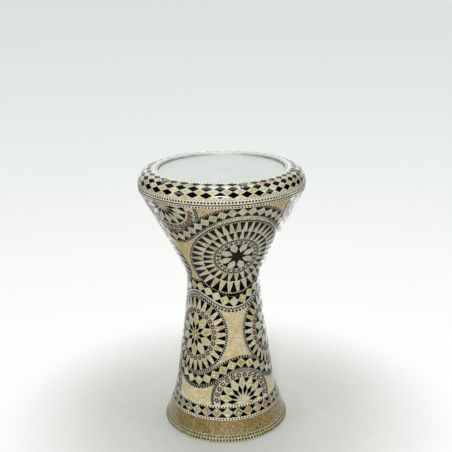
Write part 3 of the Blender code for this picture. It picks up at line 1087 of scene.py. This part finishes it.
def wedge_ring(layer, place, inner_r, outer_r, count, fill, warp=0.0, phase=0.5):
    """Black triangles with their bases outwards and pearl wedges between them.
    fill is the triangles' share of the outer edge; warp crowds them to one side."""
    edges = []
    for k in range(count):
        even = TAU * (k + phase) / count
        edge = even
        for _ in range(20):
            edge = even - warp * math.sin(edge) * TAU / count
        edges.append(edge)
    edges += [edges[0] + TAU, edges[1] + TAU]
    narrow = max(0.04, 1 - fill - 0.075)
    for start, end, after in zip(edges, edges[1:], edges[2:]):
        middle, half = 0.5 * (start + end), 0.5 * (end - start)
        base = half * (fill + jig(0.03))
        tip = 0.10 * half
        lean = jig(0.02) * half
        tip_r = inner_r + 0.5 + jig(0.4)
        black = [polar(tip_r, middle + lean - tip), polar(tip_r, middle + lean + tip),
                 polar(outer_r - 0.3, middle + base), polar(outer_r - 0.1, middle),
                 polar(outer_r - 0.3, middle - base)]
        layer.black(place, black[::-1])
        next_half = 0.5 * (after - end)
        pearl_r = inner_r + 0.35
        pearl = [polar(pearl_r, end - half * 0.82), polar(pearl_r, end),
                 polar(pearl_r, end + next_half * 0.82),
                 polar(outer_r - 0.5, end + next_half * narrow),
                 polar(outer_r - 0.5, end - half * narrow)]
        layer.pearl(place, pearl[::-1], 0.35)


def star(layer, place, count, black_kite, black_dart, pearl_kite, bold, heart_kite=None):
    """Rays of black kites and darts with pearl kites between them."""
    for k in range(count):
        ray, between = TAU * (k + 0.5) / count, TAU * (k + 1) / count
        layer.black(place, facing(black_kite, ray))
        layer.black(place, facing(black_dart, ray))
        layer.pearl(place, facing(pearl_kite, between), bold)
        if heart_kite:
            layer.pearl(place, facing(heart_kite, between), 0.3)


def bar_ring(layer, place, radius, pitch, width, height, phase=0.0):
    """Short pale slips end to end round a medallion's rope."""
    count = int(round(TAU * radius / pitch))
    for k in range(count):
        longer, taller = 1 + jig(0.08), 1 + jig(0.08)
        outline = facing([(radius + py * taller, px * longer)
                          for px, py in slip(width, height, 0.26)], TAU * (k + phase) / count)
        if layer.whole(place, outline):
            layer.put("grout", place, outline[::-1], vary(rng.choice(WHITES), 8), TOP_DOT,
                      BOTTOM_SLIP)


def band_bars(layer, band, y, pitch, width, height, phase=0.0, skip=None, kind="grout"):
    """Slips end to end along a band, pale in grout or black in ink."""
    count = int(round(band.length / pitch))
    for k in range(count):
        x = (k + phase) * band.length / count
        longer, taller = 1 + jig(0.08), 1 + jig(0.08)
        outline = [(x + px * longer, y + py * taller)
                   for px, py in slip(width, height, 0.26)]
        if skip is not None and skip(*[float(q[0]) for q in band.place([(x, y)])]):
            continue
        if layer.whole(band.place, outline):
            colour = vary(rng.choice(WHITES), 8) if kind == "grout" else vary(BLACK, 5)
            layer.put(kind, band.place, outline, colour, TOP_DOT, BOTTOM_SLIP)


def rope(layer, band, side, kind, base, skip):
    """The dark edging of a zigzag, above (side 1) or below (side -1) it."""
    if kind == "single":
        low, high = side * (base + 0.25), side * 12.2
        layer.band_strip("ink", band, low, high, TOP_ROPE, INK)
        band_bars(layer, band, 0.5 * (low + high), 4.2, 1.6, 1.9, skip=skip)
    elif kind == "double":
        layer.band_strip("grout", band, side * (base + 0.3), side * (base + 1.9), TOP_ROPE,
                         srgb(232, 233, 218))
        layer.band_strip("ink", band, side * (base + 2.1), side * (base + 7.9), TOP_ROPE, INK,
                         across=3)
        band_bars(layer, band, side * (base + 3.2), 4.4, 1.9, 1.1, phase=0.5)
        band_bars(layer, band, side * (base + 5.9), 4.4, 3.0, 2.3)
        band_bars(layer, band, side * (base + 8.9), 4.4, 2.4, 1.9, phase=0.5, kind="ink")
    elif kind == "wide":
        layer.band_strip("ink", band, side * (base + 0.25), side * (base + 6.4), TOP_ROPE, INK)
        band_bars(layer, band, side * (base + 1.9), 4.2, 1.5, 1.4)
        band_bars(layer, band, side * (base + 4.7), 4.2, 1.5, 1.4, phase=0.5)


def zigzag(layer, band, count, phase, half=6.9, base=8.4, ropes=("single", "single"),
           skip=None):
    """A band of squares standing on their corners between black triangles.  half is
    the squares' half height, base the band's half width."""
    pitch = band.length / count
    layer.band_strip("grout", band, -base - 0.2, base + 0.2, TOP_BAND, GROUT, across=6)
    for k in range(count):
        x = (k + phase) * pitch
        tall = half + jig(0.25)
        wide = pitch * 0.5 - 0.30 + jig(0.12)
        layer.pearl(band.place, [(x - wide, 0), (x, -tall), (x + wide, 0), (x, tall)], 0.35)
        for side in (1, -1):
            middle = x + 0.5 * pitch
            wide = pitch * 0.5 - 0.75 + jig(0.2)
            apex = 0.9 + jig(0.2)
            triangle = [(middle - wide, side * (base - 0.05)), (middle, side * apex),
                        (middle + wide, side * (base - 0.05))]
            layer.black(band.place, triangle[::side])
    for side, kind in zip((1, -1), ropes):
        rope(layer, band, side, kind, base, skip)


def dot_row(layer, reference_r, arc, count, width, height, colour, phase=0.0,
            looseness=0.06, stretch=1.0):
    """A row of dark dots right round at one arc length."""
    place = flat_place(reference_r)
    for k in range(count):
        x = (k + phase) * TAU / count * reference_r
        wider, taller = 1 + jig(looseness), 1 + jig(looseness)
        outline = [(x + px * wider * stretch, arc + py * taller)
                   for px, py in slip(width, height)]
        layer.put("ink", place, outline, vary(colour, 5), TOP_DOT, BOTTOM_DOT)


# ===================================================================== the bowl
def bowl_large_medallion(layer, degrees):
    place = medallion(degrees, LARGE_Z)
    layer.disc("grout", place, LARGE_R, TOP_GROUND + 0.05, srgb(202, 194, 156), rings=30,
               count=160)
    layer.ring("ink", place, 77.0, 81.0, TOP_ROPE + 0.015, INK, count=220)
    bar_ring(layer, place, 78.5, 4.4, 2.4, 1.6)
    wedge_ring(layer, place, 57.2, 76.8, 34, fill=0.74, warp=0.55)
    layer.ring("grout", place, 56.5, 57.3, TOP_FIELD + 0.03, srgb(214, 208, 180), count=200,
               across=1)
    wedge_ring(layer, place, 39.2, 56.3, 27, fill=0.76, warp=0.1, phase=0.2)
    layer.ring("ink", place, 35.5, 39.0, TOP_ROPE, INK)
    bar_ring(layer, place, 37.3, 3.9, 1.3, 1.4)
    layer.ring("grout", place, 27.9, 35.4, TOP_BAND, srgb(232, 227, 208), count=160, across=3)
    flower_ring(layer, place, 31.7, 24, 1.04, REDS + DARKS * 3 + OLIVES, gap=8.3,
                looseness=0.03, phase=0.3)
    layer.disc("black", place, 27.5, TOP_BAND, srgb(*BLACK), rings=9)
    petal = [(9.8, 0.0), (16.8, 5.5), (21.0, 5.8), (27.3, 3.9), (27.3, -3.9), (21.0, -5.8),
             (16.8, -5.5)]
    for k in range(8):
        layer.pearl(place, facing(petal, TAU * (k + 0.5) / 8), 0.3)


def bowl_top_medallion(layer, degrees):
    place = medallion(degrees + 1.2, 421.0, wide=1.12, tall=0.95)
    layer.disc("grout", place, 57.0, TOP_GROUND + 0.04, srgb(204, 196, 164))
    layer.ring("ink", place, 52.4, 57.0, TOP_FIELD + 0.02, INK, count=200)
    bar_ring(layer, place, 54.7, 4.2, 1.5, 1.7)
    layer.ring("grout", place, 40.2, 51.9, TOP_FIELD + 0.04, srgb(222, 212, 184), across=4)
    flower_ring(layer, place, 45.9, 31, 1.34, REDS, gap=9.3)
    star(layer, place, 14, kite(7.8, 17.0, 27.0, 3.35), dart(28.4, 38.9, 6.9),
         kite(16.5, 27.4, 38.8, 4.9), bold=0.5)
    layer.disc("pearl", place, 8.8, TOP_TILE, srgb(196, 178, 116), rings=3, count=28)


def bowl_crescent(layer, degrees):
    """Between a large medallion and the zigzag band above it."""
    place = medallion(degrees, LARGE_Z)
    reach = math.radians(45)
    turns = np.linspace(-reach, reach, 72)
    thickness = 8.6 * np.cos(turns / reach * math.pi / 2) ** 0.8
    inner_r = LARGE_R + 0.4
    strip(layer.piles["pearl"], BODY, place(circle_points(inner_r, turns)),
          place(circle_points(inner_r + thickness, turns)), TOP_CRESCENT, srgb(206, 188, 136),
          across=4, closed=False)


def make_bowl():
    layer = Layer(BODY, high=float(body_arc(423.95)))
    band = Band(lambda angle: 392.4 + 27.5 * np.cos(3 * (angle - math.radians(15)))
                - 2.9 * np.cos(6 * (angle - math.radians(15))))
    for degrees in LARGE_ANGLES:
        bowl_large_medallion(layer, degrees)
    for degrees in (-45.0, 75.0, 195.0):
        bowl_top_medallion(layer, degrees)
    for degrees in LARGE_ANGLES:
        bowl_crescent(layer, degrees)
    zigzag(layer, band, 54, phase=0.0)
    layer.build("bowl_inlay", "shell")


# ===================================================================== the neck
def neck_medallion(layer, degrees):
    place = medallion(degrees, 178.0, wide=0.95, tall=1.05)
    layer.disc("grout", place, 66.6, TOP_GROUND + 0.04, srgb(206, 200, 172), rings=24,
               count=150)
    layer.ring("ink", place, 60.9, 64.6, TOP_FIELD + 0.02, INK, count=200)
    bar_ring(layer, place, 63.0, 4.2, 1.5, 2.2)
    layer.ring("grout", place, 64.8, 66.2, TOP_FIELD + 0.02, srgb(214, 210, 188), count=200,
               across=1)
    wedge_ring(layer, place, 45.3, 60.6, 28, fill=0.66)
    layer.ring("grout", place, 35.3, 44.9, TOP_FIELD + 0.03, srgb(224, 213, 188), count=160,
               across=3)
    flower_ring(layer, place, 40.1, 26, 1.36, REDS, gap=9.7)
    star(layer, place, 10, kite(6.6, 13.8, 22.8, 3.75), dart(24.6, 34.7, 6.6),
         kite(14.4, 25.0, 34.8, 5.9), bold=0.55)
    layer.disc("pearl", place, 6.3, TOP_TILE, srgb(196, 168, 120), rings=2, count=24)


def neck_low_medallion(layer, degrees):
    """Cut off below by the foot's upper strip."""
    place = medallion(degrees, 66.0)
    layer.disc("grout", place, 57.0, TOP_GROUND + 0.05, srgb(206, 202, 178))
    layer.ring("ink", place, 51.6, 57.0, TOP_FIELD + 0.02, INK, count=200)
    bar_ring(layer, place, 53.1, 4.2, 1.6, 1.3)
    bar_ring(layer, place, 55.6, 4.2, 1.6, 1.3, phase=0.5)
    layer.ring("grout", place, 41.3, 51.3, TOP_FIELD + 0.03, srgb(222, 213, 190), count=160,
               across=3)
    flower_ring(layer, place, 46.3, 27, 1.42, REDS + DARKS, gap=10.8)
    star(layer, place, 14, kite(9.8, 19.6, 29.8, 3.9), dart(30.8, 40.7, 6.2),
         kite(20.6, 30.6, 40.8, 5.3), bold=0.35, heart_kite=kite(1.5, 8.6, 19.8, 1.75))


def beside_large_medallion(angle, arc):
    """Inside, or right beside, a large medallion's own rope."""
    for degrees in LARGE_ANGLES:
        apart = (angle - math.radians(degrees) + math.pi) % TAU - math.pi
        x = apart * float(BODY.radius(arc))
        if math.hypot(x, arc - float(body_arc(LARGE_Z))) < LARGE_R + 3.4:
            return True
    return False


def make_neck():
    layer = Layer(BODY, low=float(body_arc(60.3)))
    waist = Band(lambda angle: 253.0 - 12.0 * np.cos(3 * (angle - math.radians(15))))
    low = Band(lambda angle: 116.0 + 17.0 * np.cos(3 * (angle - math.radians(20))))
    for degrees in (-44.75, 75.25, 195.25):
        neck_medallion(layer, degrees)
    for degrees in (20.0, 138.0, 258.0):
        neck_low_medallion(layer, degrees)
    zigzag(layer, waist, 27, phase=waist.x_at(15) / waist.length * 27 % 1.0, half=7.2,
           base=8.6, ropes=("single", "double"), skip=beside_large_medallion)
    zigzag(layer, low, 33, phase=low.x_at(20) / low.length * 33 % 1.0, half=7.2,
           ropes=("single", "wide"))
    layer.build("neck_inlay", "shell")


# ================================================== the foot and the body's strips
def foot_rhombs(layer):
    """32 tinted rhombs, unevenly spaced, between black triangles."""
    reference_r = body_radius_at(48.0)
    place = flat_place(reference_r)
    middle, high, low = float(body_arc(48.0)), float(body_arc(55.9)), float(body_arc(40.1))

    def centre_x(k):
        even = 11.25 * k
        return math.radians(1.5 + even + 0.9 * math.sin(math.radians(even))) * reference_r

    for k in range(32):
        x, next_x = centre_x(k), centre_x(k + 1)
        rhomb = [(x - 8.0 + jig(0.2), middle), (x, low - 0.2),
                 (x + 8.0 + jig(0.2), middle), (x, high + 0.2)]
        layer.put("pearl", place, rhomb, vary(rng.choice(FOOT_TINTS), 8))
        between = 0.5 * (x + next_x)
        half = 0.5 * (next_x - x) - 1.0 + jig(0.2)
        left, right = between - half, between + half
        layer.black(place, [(left, high - 0.1), (between, middle + 0.5 + jig(0.2)),
                            (right, high - 0.1)])
        layer.black(place, [(left, low + 0.1), (right, low + 0.1),
                            (between, middle - 0.5 + jig(0.2))])


def make_borders():
    layer = Layer(BODY)
    # z of the reference radius, z of the row, count, width, height, colour, phase
    for radius_z, z, count, width, height, colour, phase in (
            (57.6, 57.6, 112, 2.6, 2.7, (12, 10, 11), 0.0),
            (37.8, 37.8, 120, 2.6, 2.6, (12, 10, 11), 0.0),
            (9.9, 9.9, 126, 2.7, 3.1, (13, 11, 9), 0.0),
            (4.6, 4.7, 124, 2.7, 3.1, (13, 11, 9), 0.1)):
        dot_row(layer, body_radius_at(radius_z), float(body_arc(z)), count, width, height,
                colour, phase)
    foot_rhombs(layer)
    # the strip under the rim
    dot_row(layer, body_radius_at(426.4), float(body_arc(426.45)), 172, 2.6, 2.6,
            (12, 11, 11))
    layer.build("border_inlay", "shell")


# ====================================================================== the rim
RIM_REFERENCE_R = 130.0
RIM_COLUMNS = 41
RIM_BLACK_EDGES = (9.75, 20.7, 31.8, 43.4)      # arc lengths between rows of black rhombs
RIM_BLACK_CENTRES = (15.2, 26.2, 37.4)


def recess_outline(turn, centre_x, centre_y):
    """A screw recess in the rim's frame, counter-clockwise."""
    points = []
    for i in range(24):
        step = TAU * i / 24
        x, y = centre_x + 7.25 * math.cos(step), centre_y + 7.25 * math.sin(step)
        angle = turn + (math.atan2(x, -y) - turn + math.pi) % TAU - math.pi
        arc = float(np.interp(-math.hypot(x, y), -RIM.radii, RIM.arcs))
        points.append((angle * RIM_REFERENCE_R, arc))
    return points[::-1] if area(points) < 0 else points


RECESSES = [(turn * RIM_REFERENCE_R, recess_outline(turn, x, y)) for _, turn, (x, y) in BOLTS]


def apart(first, second):
    """Whether two outlines' bounding boxes miss each other."""
    return any(max(p[axis] for p in first) < min(p[axis] for p in second)
               or min(p[axis] for p in first) > max(p[axis] for p in second)
               for axis in (0, 1))


def rim_tile(layer, kind, outline, colour):
    """A tile with the screw recesses cut out of it."""
    parts = [outline]
    centre_x = sum(p[0] for p in outline) / len(outline)
    for recess_x, recess in RECESSES:
        for turn in (-TAU * RIM_REFERENCE_R, 0.0, TAU * RIM_REFERENCE_R):
            if abs(centre_x - recess_x - turn) >= 30:
                continue
            hole = [(x + turn, y) for x, y in recess]
            pieces = []
            for part in parts:
                if area(part) < 0:
                    part = part[::-1]
                pieces.extend([part] if apart(part, hole) else minus(part, hole))
            parts = pieces
    for part in parts:
        tile(layer.piles[kind], RIM, flat_place(RIM_REFERENCE_R), part, TOP_TILE, BOTTOM_TILE,
             colour, step=1.9)


def rim_rhomb(layer, kind, left, centre, right, low, middle, high, colour, gap=0.30):
    """A rhomb between its corners (angles and arcs), drawn in by the grout line."""
    x = centre * RIM_REFERENCE_R
    x_left, x_right = left * RIM_REFERENCE_R, right * RIM_REFERENCE_R
    scale = float(RIM.radius(middle)) / RIM_REFERENCE_R
    half_x, half_y = 0.5 * (x_right - x_left) * scale, 0.5 * (high - low)
    shrink = 1 - gap * math.hypot(half_x, half_y) / (half_x * half_y)
    rim_tile(layer, kind, [(x + (x_left - x) * shrink, middle),
                           (x, middle + (low - middle) * shrink),
                           (x + (x_right - x) * shrink, middle),
                           (x, middle + (high - middle) * shrink)], colour)


def make_rim_inlay():
    layer = Layer(RIM)
    columns = []
    for k in range(RIM_COLUMNS + 1):
        crowding = 9.4 * (math.cos(TAU * (k % RIM_COLUMNS) / RIM_COLUMNS) - 1)
        columns.append(math.radians(360.0 * k / RIM_COLUMNS + crowding - 1.2 + jig(0.3)))
    columns[0] = columns[RIM_COLUMNS] - TAU
    columns.append(columns[1] + TAU)
    bottom, top = RIM_BLACK_EDGES[0], RIM_BLACK_EDGES[-1]
    for before, here, after in zip(columns, columns[1:], columns[2:]):
        left, right = 0.5 * (before + here), 0.5 * (here + after)
        for low, high in zip(RIM_BLACK_EDGES, RIM_BLACK_EDGES[1:]):
            shift = jig(0.3)
            middle = 0.5 * (low + high)
            rim_rhomb(layer, "black", left, here + math.radians(jig(0.12)), right,
                      low + shift, middle + shift, high + shift, vary(BLACK, 4))
        for low, high in zip(RIM_BLACK_CENTRES, RIM_BLACK_CENTRES[1:]):
            rim_rhomb(layer, "pearl", here, right, after, low, 0.5 * (low + high), high,
                      pearl_tint(0.6), gap=0.42)
        x0, x, x1 = [angle * RIM_REFERENCE_R for angle in (here, right, after)]
        rim_tile(layer, "pearl",
                 [(x0 + 0.9, bottom + 0.05), (x1 - 0.9, bottom + 0.05),
                  (x, RIM_BLACK_CENTRES[0] - 0.65)], pearl_tint(0.3))
        rim_tile(layer, "pearl",
                 [(x, RIM_BLACK_CENTRES[2] + 0.6), (x1 - 1.2, top + 0.2), (x1 - 2.4, 46.1),
                  (x0 + 2.4, 46.1), (x0 + 1.2, top + 0.2)], pearl_tint(0.3))
    # arc length, count, width, height, colour, phase
    for arc, count, width, height, colour, phase in (
            (3.8, 165, 2.9, 3.1, (12, 11, 11), 0.0),
            (7.9, 192, 1.5, 1.7, (66, 60, 34), 0.3),
            (49.0, 126, 2.0, 1.9, (32, 30, 28), 0.0)):
        dot_row(layer, RIM_REFERENCE_R, arc, count, width, height, colour, phase,
                looseness=0.05, stretch=RIM_REFERENCE_R / float(RIM.radius(arc)))
    layer.build("rim_inlay", "ring")


make_bowl()
make_neck()
make_borders()
make_rim_inlay()

# ======================================================================= screws
HEAD_Z = SEAT_Z + 1.8           # underside of a screw head, above its washer
SHANK_R = 3.0
HEAD_STEPS = 96
SOCKET_ACROSS = 5.0             # across the flats
# (radius, height above HEAD_Z); the head is knurled at KNURLED_ROWS
HEAD_OUTLINE = [(SHANK_R, 0), (4.7, 0), (4.98, 0.25), (4.98, 0.7), (4.98, 5.0), (4.98, 5.3),
                (4.86, 5.62), (4.55, 5.86), (4.1, 6.0)]
KNURLED_ROWS = (3, 4)
SOCKET_OUTLINE = [(1.12, 6.0), (1.0, 5.65), (1.0, 2.6), (0.9, 2.4)]     # (scale, height)
SHANK_STEPS = 24
SHANK_TOP, SHANK_BOTTOM = HEAD_Z - 1.0, 418.0
THREAD_PITCH = 1.0
THREAD = [3.0, 2.9, 2.62, 2.40, 2.62, 2.9]      # radii through one pitch


def add_ring(bm, radius_at, z, count):
    """A ring of vertices; radius_at takes the step's number and its angle."""
    row = []
    for i in range(count):
        angle = TAU * i / count
        radius = radius_at(i, angle)
        row.append(bm.verts.new((radius * math.sin(angle), -radius * math.cos(angle), z)))
    return row


def bridge(bm, first, second):
    for i in range(len(first)):
        j = (i + 1) % len(first)
        bm.faces.new((first[i], first[j], second[j], second[i]))


def thread_radius(step, z):
    if z > HEAD_Z - 4.0:
        return SHANK_R
    phase = ((SHANK_TOP - z) / THREAD_PITCH + step / SHANK_STEPS) % 1.0 * len(THREAD)
    k = int(phase)
    radius = (THREAD[k % len(THREAD)] * (1 - phase % 1)
              + THREAD[(k + 1) % len(THREAD)] * (phase % 1))
    if z < SHANK_BOTTOM + 0.8:
        radius = min(radius, 2.3 + (z - SHANK_BOTTOM) * 0.8)
    return radius


def make_screw(number, centre):
    """Socket-head cap screw: knurled, chamfered head, hexagonal socket and thread."""
    bm = bmesh.new()
    rows = []
    for j, (radius, height) in enumerate(HEAD_OUTLINE):
        knurl = 0.14 if j in KNURLED_ROWS else 0.0
        rows.append(add_ring(bm, lambda i, angle: radius - knurl * (i % 2), HEAD_Z + height,
                             HEAD_STEPS))
    for scale, height in SOCKET_OUTLINE:
        rows.append(add_ring(
            bm, lambda i, angle: (SOCKET_ACROSS / 2
                                  / math.cos((angle % (TAU / 6)) - TAU / 12) * scale),
            HEAD_Z + height, HEAD_STEPS))
    for first, second in zip(rows[:-1], rows[1:]):
        bridge(bm, first, second)
    floor_point = bm.verts.new((0, 0, HEAD_Z + 1.7))
    for i in range(HEAD_STEPS):
        bm.faces.new((rows[-1][i], rows[-1][(i + 1) % HEAD_STEPS], floor_point))
    levels = int(round((SHANK_TOP - SHANK_BOTTOM) / THREAD_PITCH * len(THREAD)))
    shank = []
    for j in range(levels + 1):
        z = SHANK_TOP - j * THREAD_PITCH / len(THREAD)
        shank.append(add_ring(bm, lambda i, angle: thread_radius(i, z), z, SHANK_STEPS))
    neck = add_ring(bm, lambda i, angle: SHANK_R, HEAD_Z + 0.05, SHANK_STEPS)
    for upper, lower in zip(shank[:-1], shank[1:]):
        bridge(bm, lower, upper)
    bridge(bm, shank[0], neck)
    bm.faces.new(neck)
    bm.faces.new(shank[-1][::-1])
    bm.faces.new(rows[0][::-1])
    bmesh.ops.recalc_face_normals(bm, faces=bm.faces)
    for vertex in bm.verts:
        vertex.co = [value * MM for value in vertex.co]
    name = "screw_%d_body" % number
    mesh = bpy.data.meshes.new(name)
    bm.to_mesh(mesh)
    bm.free()
    mesh.materials.append(SCREW_METAL)
    mesh.shade_smooth()
    mesh.set_sharp_from_angle(angle=math.radians(28))
    made = add_object(name, mesh)
    made.location = (centre[0] * MM, centre[1] * MM, 0)
    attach(made, "bolt_%d" % number)
    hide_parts("tuning_bolt_%d" % number)


def make_washer(number, centre):
    base = SEAT_Z + 0.3
    outline = rounded_ring(inner=3.55, outer=6.15, low=base + 0.15, high=base + 1.05,
                           radius=0.15, steps=2)
    turned("washer_%d_body" % number, outline, CHROME, "ring", "bolt_washer_%d" % number,
           "chrome", segments=56, centre=centre)


def make_insert(number, centre):
    """A bush with a grooved outside, in the shell under a screw."""
    outline = [(4.4, 428.2), (4.6, 428.0)]
    for z in np.arange(427.4, 416.9, -0.75):
        outline += [(4.6, z), (4.38, z - 0.375)]
    outline += [(4.6, 416.6), (4.3, 416.3), (3.4, 416.3), (3.3, 416.4), (3.3, 427.6),
                (3.7, 428.2)]
    turned("insert_%d_body" % number, outline, STEEL, "shell", "thread_insert_%d" % number,
           "steel", segments=48, centre=centre)


for number, _, centre in BOLTS:
    make_screw(number, centre)
    make_washer(number, centre)
    make_insert(number, centre)


# ================================================================ stage (metres)
def backdrop_colour(nodes):
    """White low down, a little greyer towards the top as painted shade, from the view direction.
    """
    incoming = nodes.add("NewGeometry").outputs["Incoming"]
    drop = nodes.spread(nodes.split_xyz(incoming)["Z"], source=(0.02, 0.50))
    return nodes.ramp(drop, (0.0, srgb(219, 224, 222)), (0.25, srgb(228, 232, 230)),
                      (0.50, srgb(239, 242, 240)), (0.68, srgb(250, 251, 249)),
                      (0.85, srgb(254, 254, 253)))


def floor_material():
    """Matt pale floor: plain grey-white round the object, running out into the
    white of the backdrop."""
    material, nodes, bsdf = new_material("floor_white")
    place = nodes.add("TexCoord").outputs["Object"]
    distance = nodes.tree.nodes.new("ShaderNodeVectorMath")
    distance.operation = 'LENGTH'
    nodes.feed(distance.inputs[0], place)
    grain = nodes.noise(place, Scale=35.0, Detail=4.0, Roughness=0.6)
    nodes.set(bsdf, Roughness=0.75, Specular_IOR_Level=0.15,
              Base_Color=nodes.ramp(grain, (0.3, srgb(214, 216, 212)),
                                    (0.7, srgb(218, 220, 216))))
    # past the matt part the floor glows: painted light, sent onto the drum as a warm bounce and
    # seen in its lacquer as a painted reflection
    glow = nodes.add("Emission")
    rays = nodes.add("LightPath").outputs
    colour = nodes.mix(backdrop_colour(nodes), srgb(250, 243, 226), rays["Is Diffuse Ray"])
    # seen by the camera it is white; seen in a reflection it falls off to the front
    x, y, _ = nodes.split_xyz(place)
    bounce = nodes.spread(y, source=(0.35, 1.05), target=(0.05, 1.50), curve='SMOOTHSTEP')
    bounce = nodes.math('ADD', bounce, 0.37)
    shine = nodes.spread(y, source=(0.13, 0.48), target=(0.34, 2.3), curve='SMOOTHSTEP')
    side = nodes.spread(x, source=(-0.3, 0.3), target=(0.65, 1.0))
    far = nodes.spread(y, source=(0.45, 1.10), target=(1.0, 0.38))
    gloss = nodes.math('MULTIPLY', nodes.math('MULTIPLY', shine, side), far)
    strength = nodes.choose(gloss, bounce, rays["Is Diffuse Ray"])
    strength = nodes.choose(strength, 1.0, rays["Is Camera Ray"])
    nodes.set(glow, Color=colour, Strength=strength)
    fade = nodes.spread(distance.outputs["Value"], source=(0.17, 0.47), curve='SMOOTHERSTEP')
    blend = nodes.add("MixShader")
    for socket, value in zip(blend.inputs, (fade, bsdf.outputs[0], glow.outputs[0])):
        nodes.feed(socket, value)
    nodes.feed(nodes.tree.nodes["Material Output"].inputs["Surface"], blend.outputs[0])
    return material


def make_floor():
    """A plain round floor; past its edge the backdrop has the same white."""
    bm = bmesh.new()
    bmesh.ops.create_circle(bm, cap_ends=True, cap_tris=True, segments=96, radius=2.6)
    mesh = bpy.data.meshes.new("floor")
    bm.to_mesh(mesh)
    bm.free()
    mesh.materials.append(floor_material())
    made = add_object("floor", mesh)
    made.location = (0.0, 0.0, -0.0002)


def make_world():
    """The room: white cloth behind, dim sides, and a soft pale window near the camera."""
    world = bpy.data.worlds.new("studio")
    bpy.context.scene.world = world
    world.use_nodes = True
    nodes = Nodes(world.node_tree)
    x, y, z = nodes.split_xyz(nodes.add("TexCoord").outputs["Generated"])

    def smooth(value, source, target):
        return nodes.spread(value, source, target, 'SMOOTHSTEP')

    cloth = smooth(y, source=(0.60, 0.97), target=(0.0, 1.3))
    sky = nodes.math('MULTIPLY', smooth(z, source=(0.25, 0.95), target=(0.0, 0.55)),
                     smooth(y, source=(-0.7, 0.3), target=(0.15, 1.0)))
    window = nodes.math('MULTIPLY', smooth(y, source=(-0.70, -0.96), target=(0.0, 1.0)),
                        smooth(z, source=(-0.25, 0.10), target=(0.0, 1.0)))
    window = nodes.math('MULTIPLY', window, smooth(x, source=(0.45, -0.10), target=(0.12, 0.52)))
    room = nodes.math('ADD', nodes.math('MAXIMUM', cloth, sky), window)
    room = nodes.math('ADD', room, 0.05)
    camera_ray = nodes.add("LightPath").outputs["Is Camera Ray"]
    nodes.set(nodes.tree.nodes["Background"], Strength=nodes.choose(room, 1.0, camera_ray),
              Color=nodes.mix((0.955, 0.985, 0.975), backdrop_colour(nodes), camera_ray))


def set_view():
    view = bpy.context.scene.view_settings
    view.view_transform = 'Standard'
    view.use_curve_mapping = True
    view.curve_mapping.black_level = (0.006, 0.006, 0.006)
    view.curve_mapping.update()


def area_light(name, location, target, width, height, power, colour):
    light = bpy.data.lights.new(name, 'AREA')
    light.shape = 'RECTANGLE'
    light.size, light.size_y = width, height
    light.energy, light.color = power, colour
    made = add_object(name, light)
    made.location = location
    aim = Vector(target) - Vector(location)
    made.rotation_euler = aim.to_track_quat('-Z', 'Y').to_euler()


def make_lights():
    area_light("key", (-0.12, -3.0, 1.65), target=(0, 0, 0.25), width=0.62, height=0.17,
               power=66, colour=(1.0, 0.99, 0.97))
    area_light("side_left", (-2.4, -1.2, 1.7), target=(0, 0, 0.25), width=0.8, height=0.8,
               power=12, colour=(1.0, 0.99, 0.97))
    area_light("side_right", (2.4, -1.0, 1.6), target=(0, 0, 0.25), width=0.8, height=0.8,
               power=10, colour=(0.97, 0.99, 1.0))
    area_light("top", (0.1, 0.3, 2.7), target=(0, 0, 0.3), width=1.4, height=1.4,
               power=22, colour=(1, 1, 1))


def make_camera():
    """In front of the drum, looking slightly down on it."""
    lens = bpy.data.cameras.new("camera")
    lens.sensor_width = 36.0
    lens.lens = 65.77
    camera = add_object("camera", lens)
    pitch, roll, yaw = 0.307129, -0.0184312, 0.0043411      # radians
    forward = Vector((math.sin(yaw) * math.cos(pitch), math.cos(yaw) * math.cos(pitch),
                      -math.sin(pitch)))
    level = Vector((math.cos(yaw), -math.sin(yaw), 0))
    upright = level.cross(forward)
    right = math.cos(roll) * level + math.sin(roll) * upright
    up = -math.sin(roll) * level + math.cos(roll) * upright
    matrix = Matrix.Identity(4)
    for i in range(3):
        matrix[i][0], matrix[i][1], matrix[i][2] = right[i], up[i], -forward[i]
    matrix.translation = Vector((0.0, -1.33919, 0.778494))
    camera.matrix_world = matrix
    bpy.context.scene.camera = camera


make_floor()
make_world()
set_view()
make_lights()
make_camera()
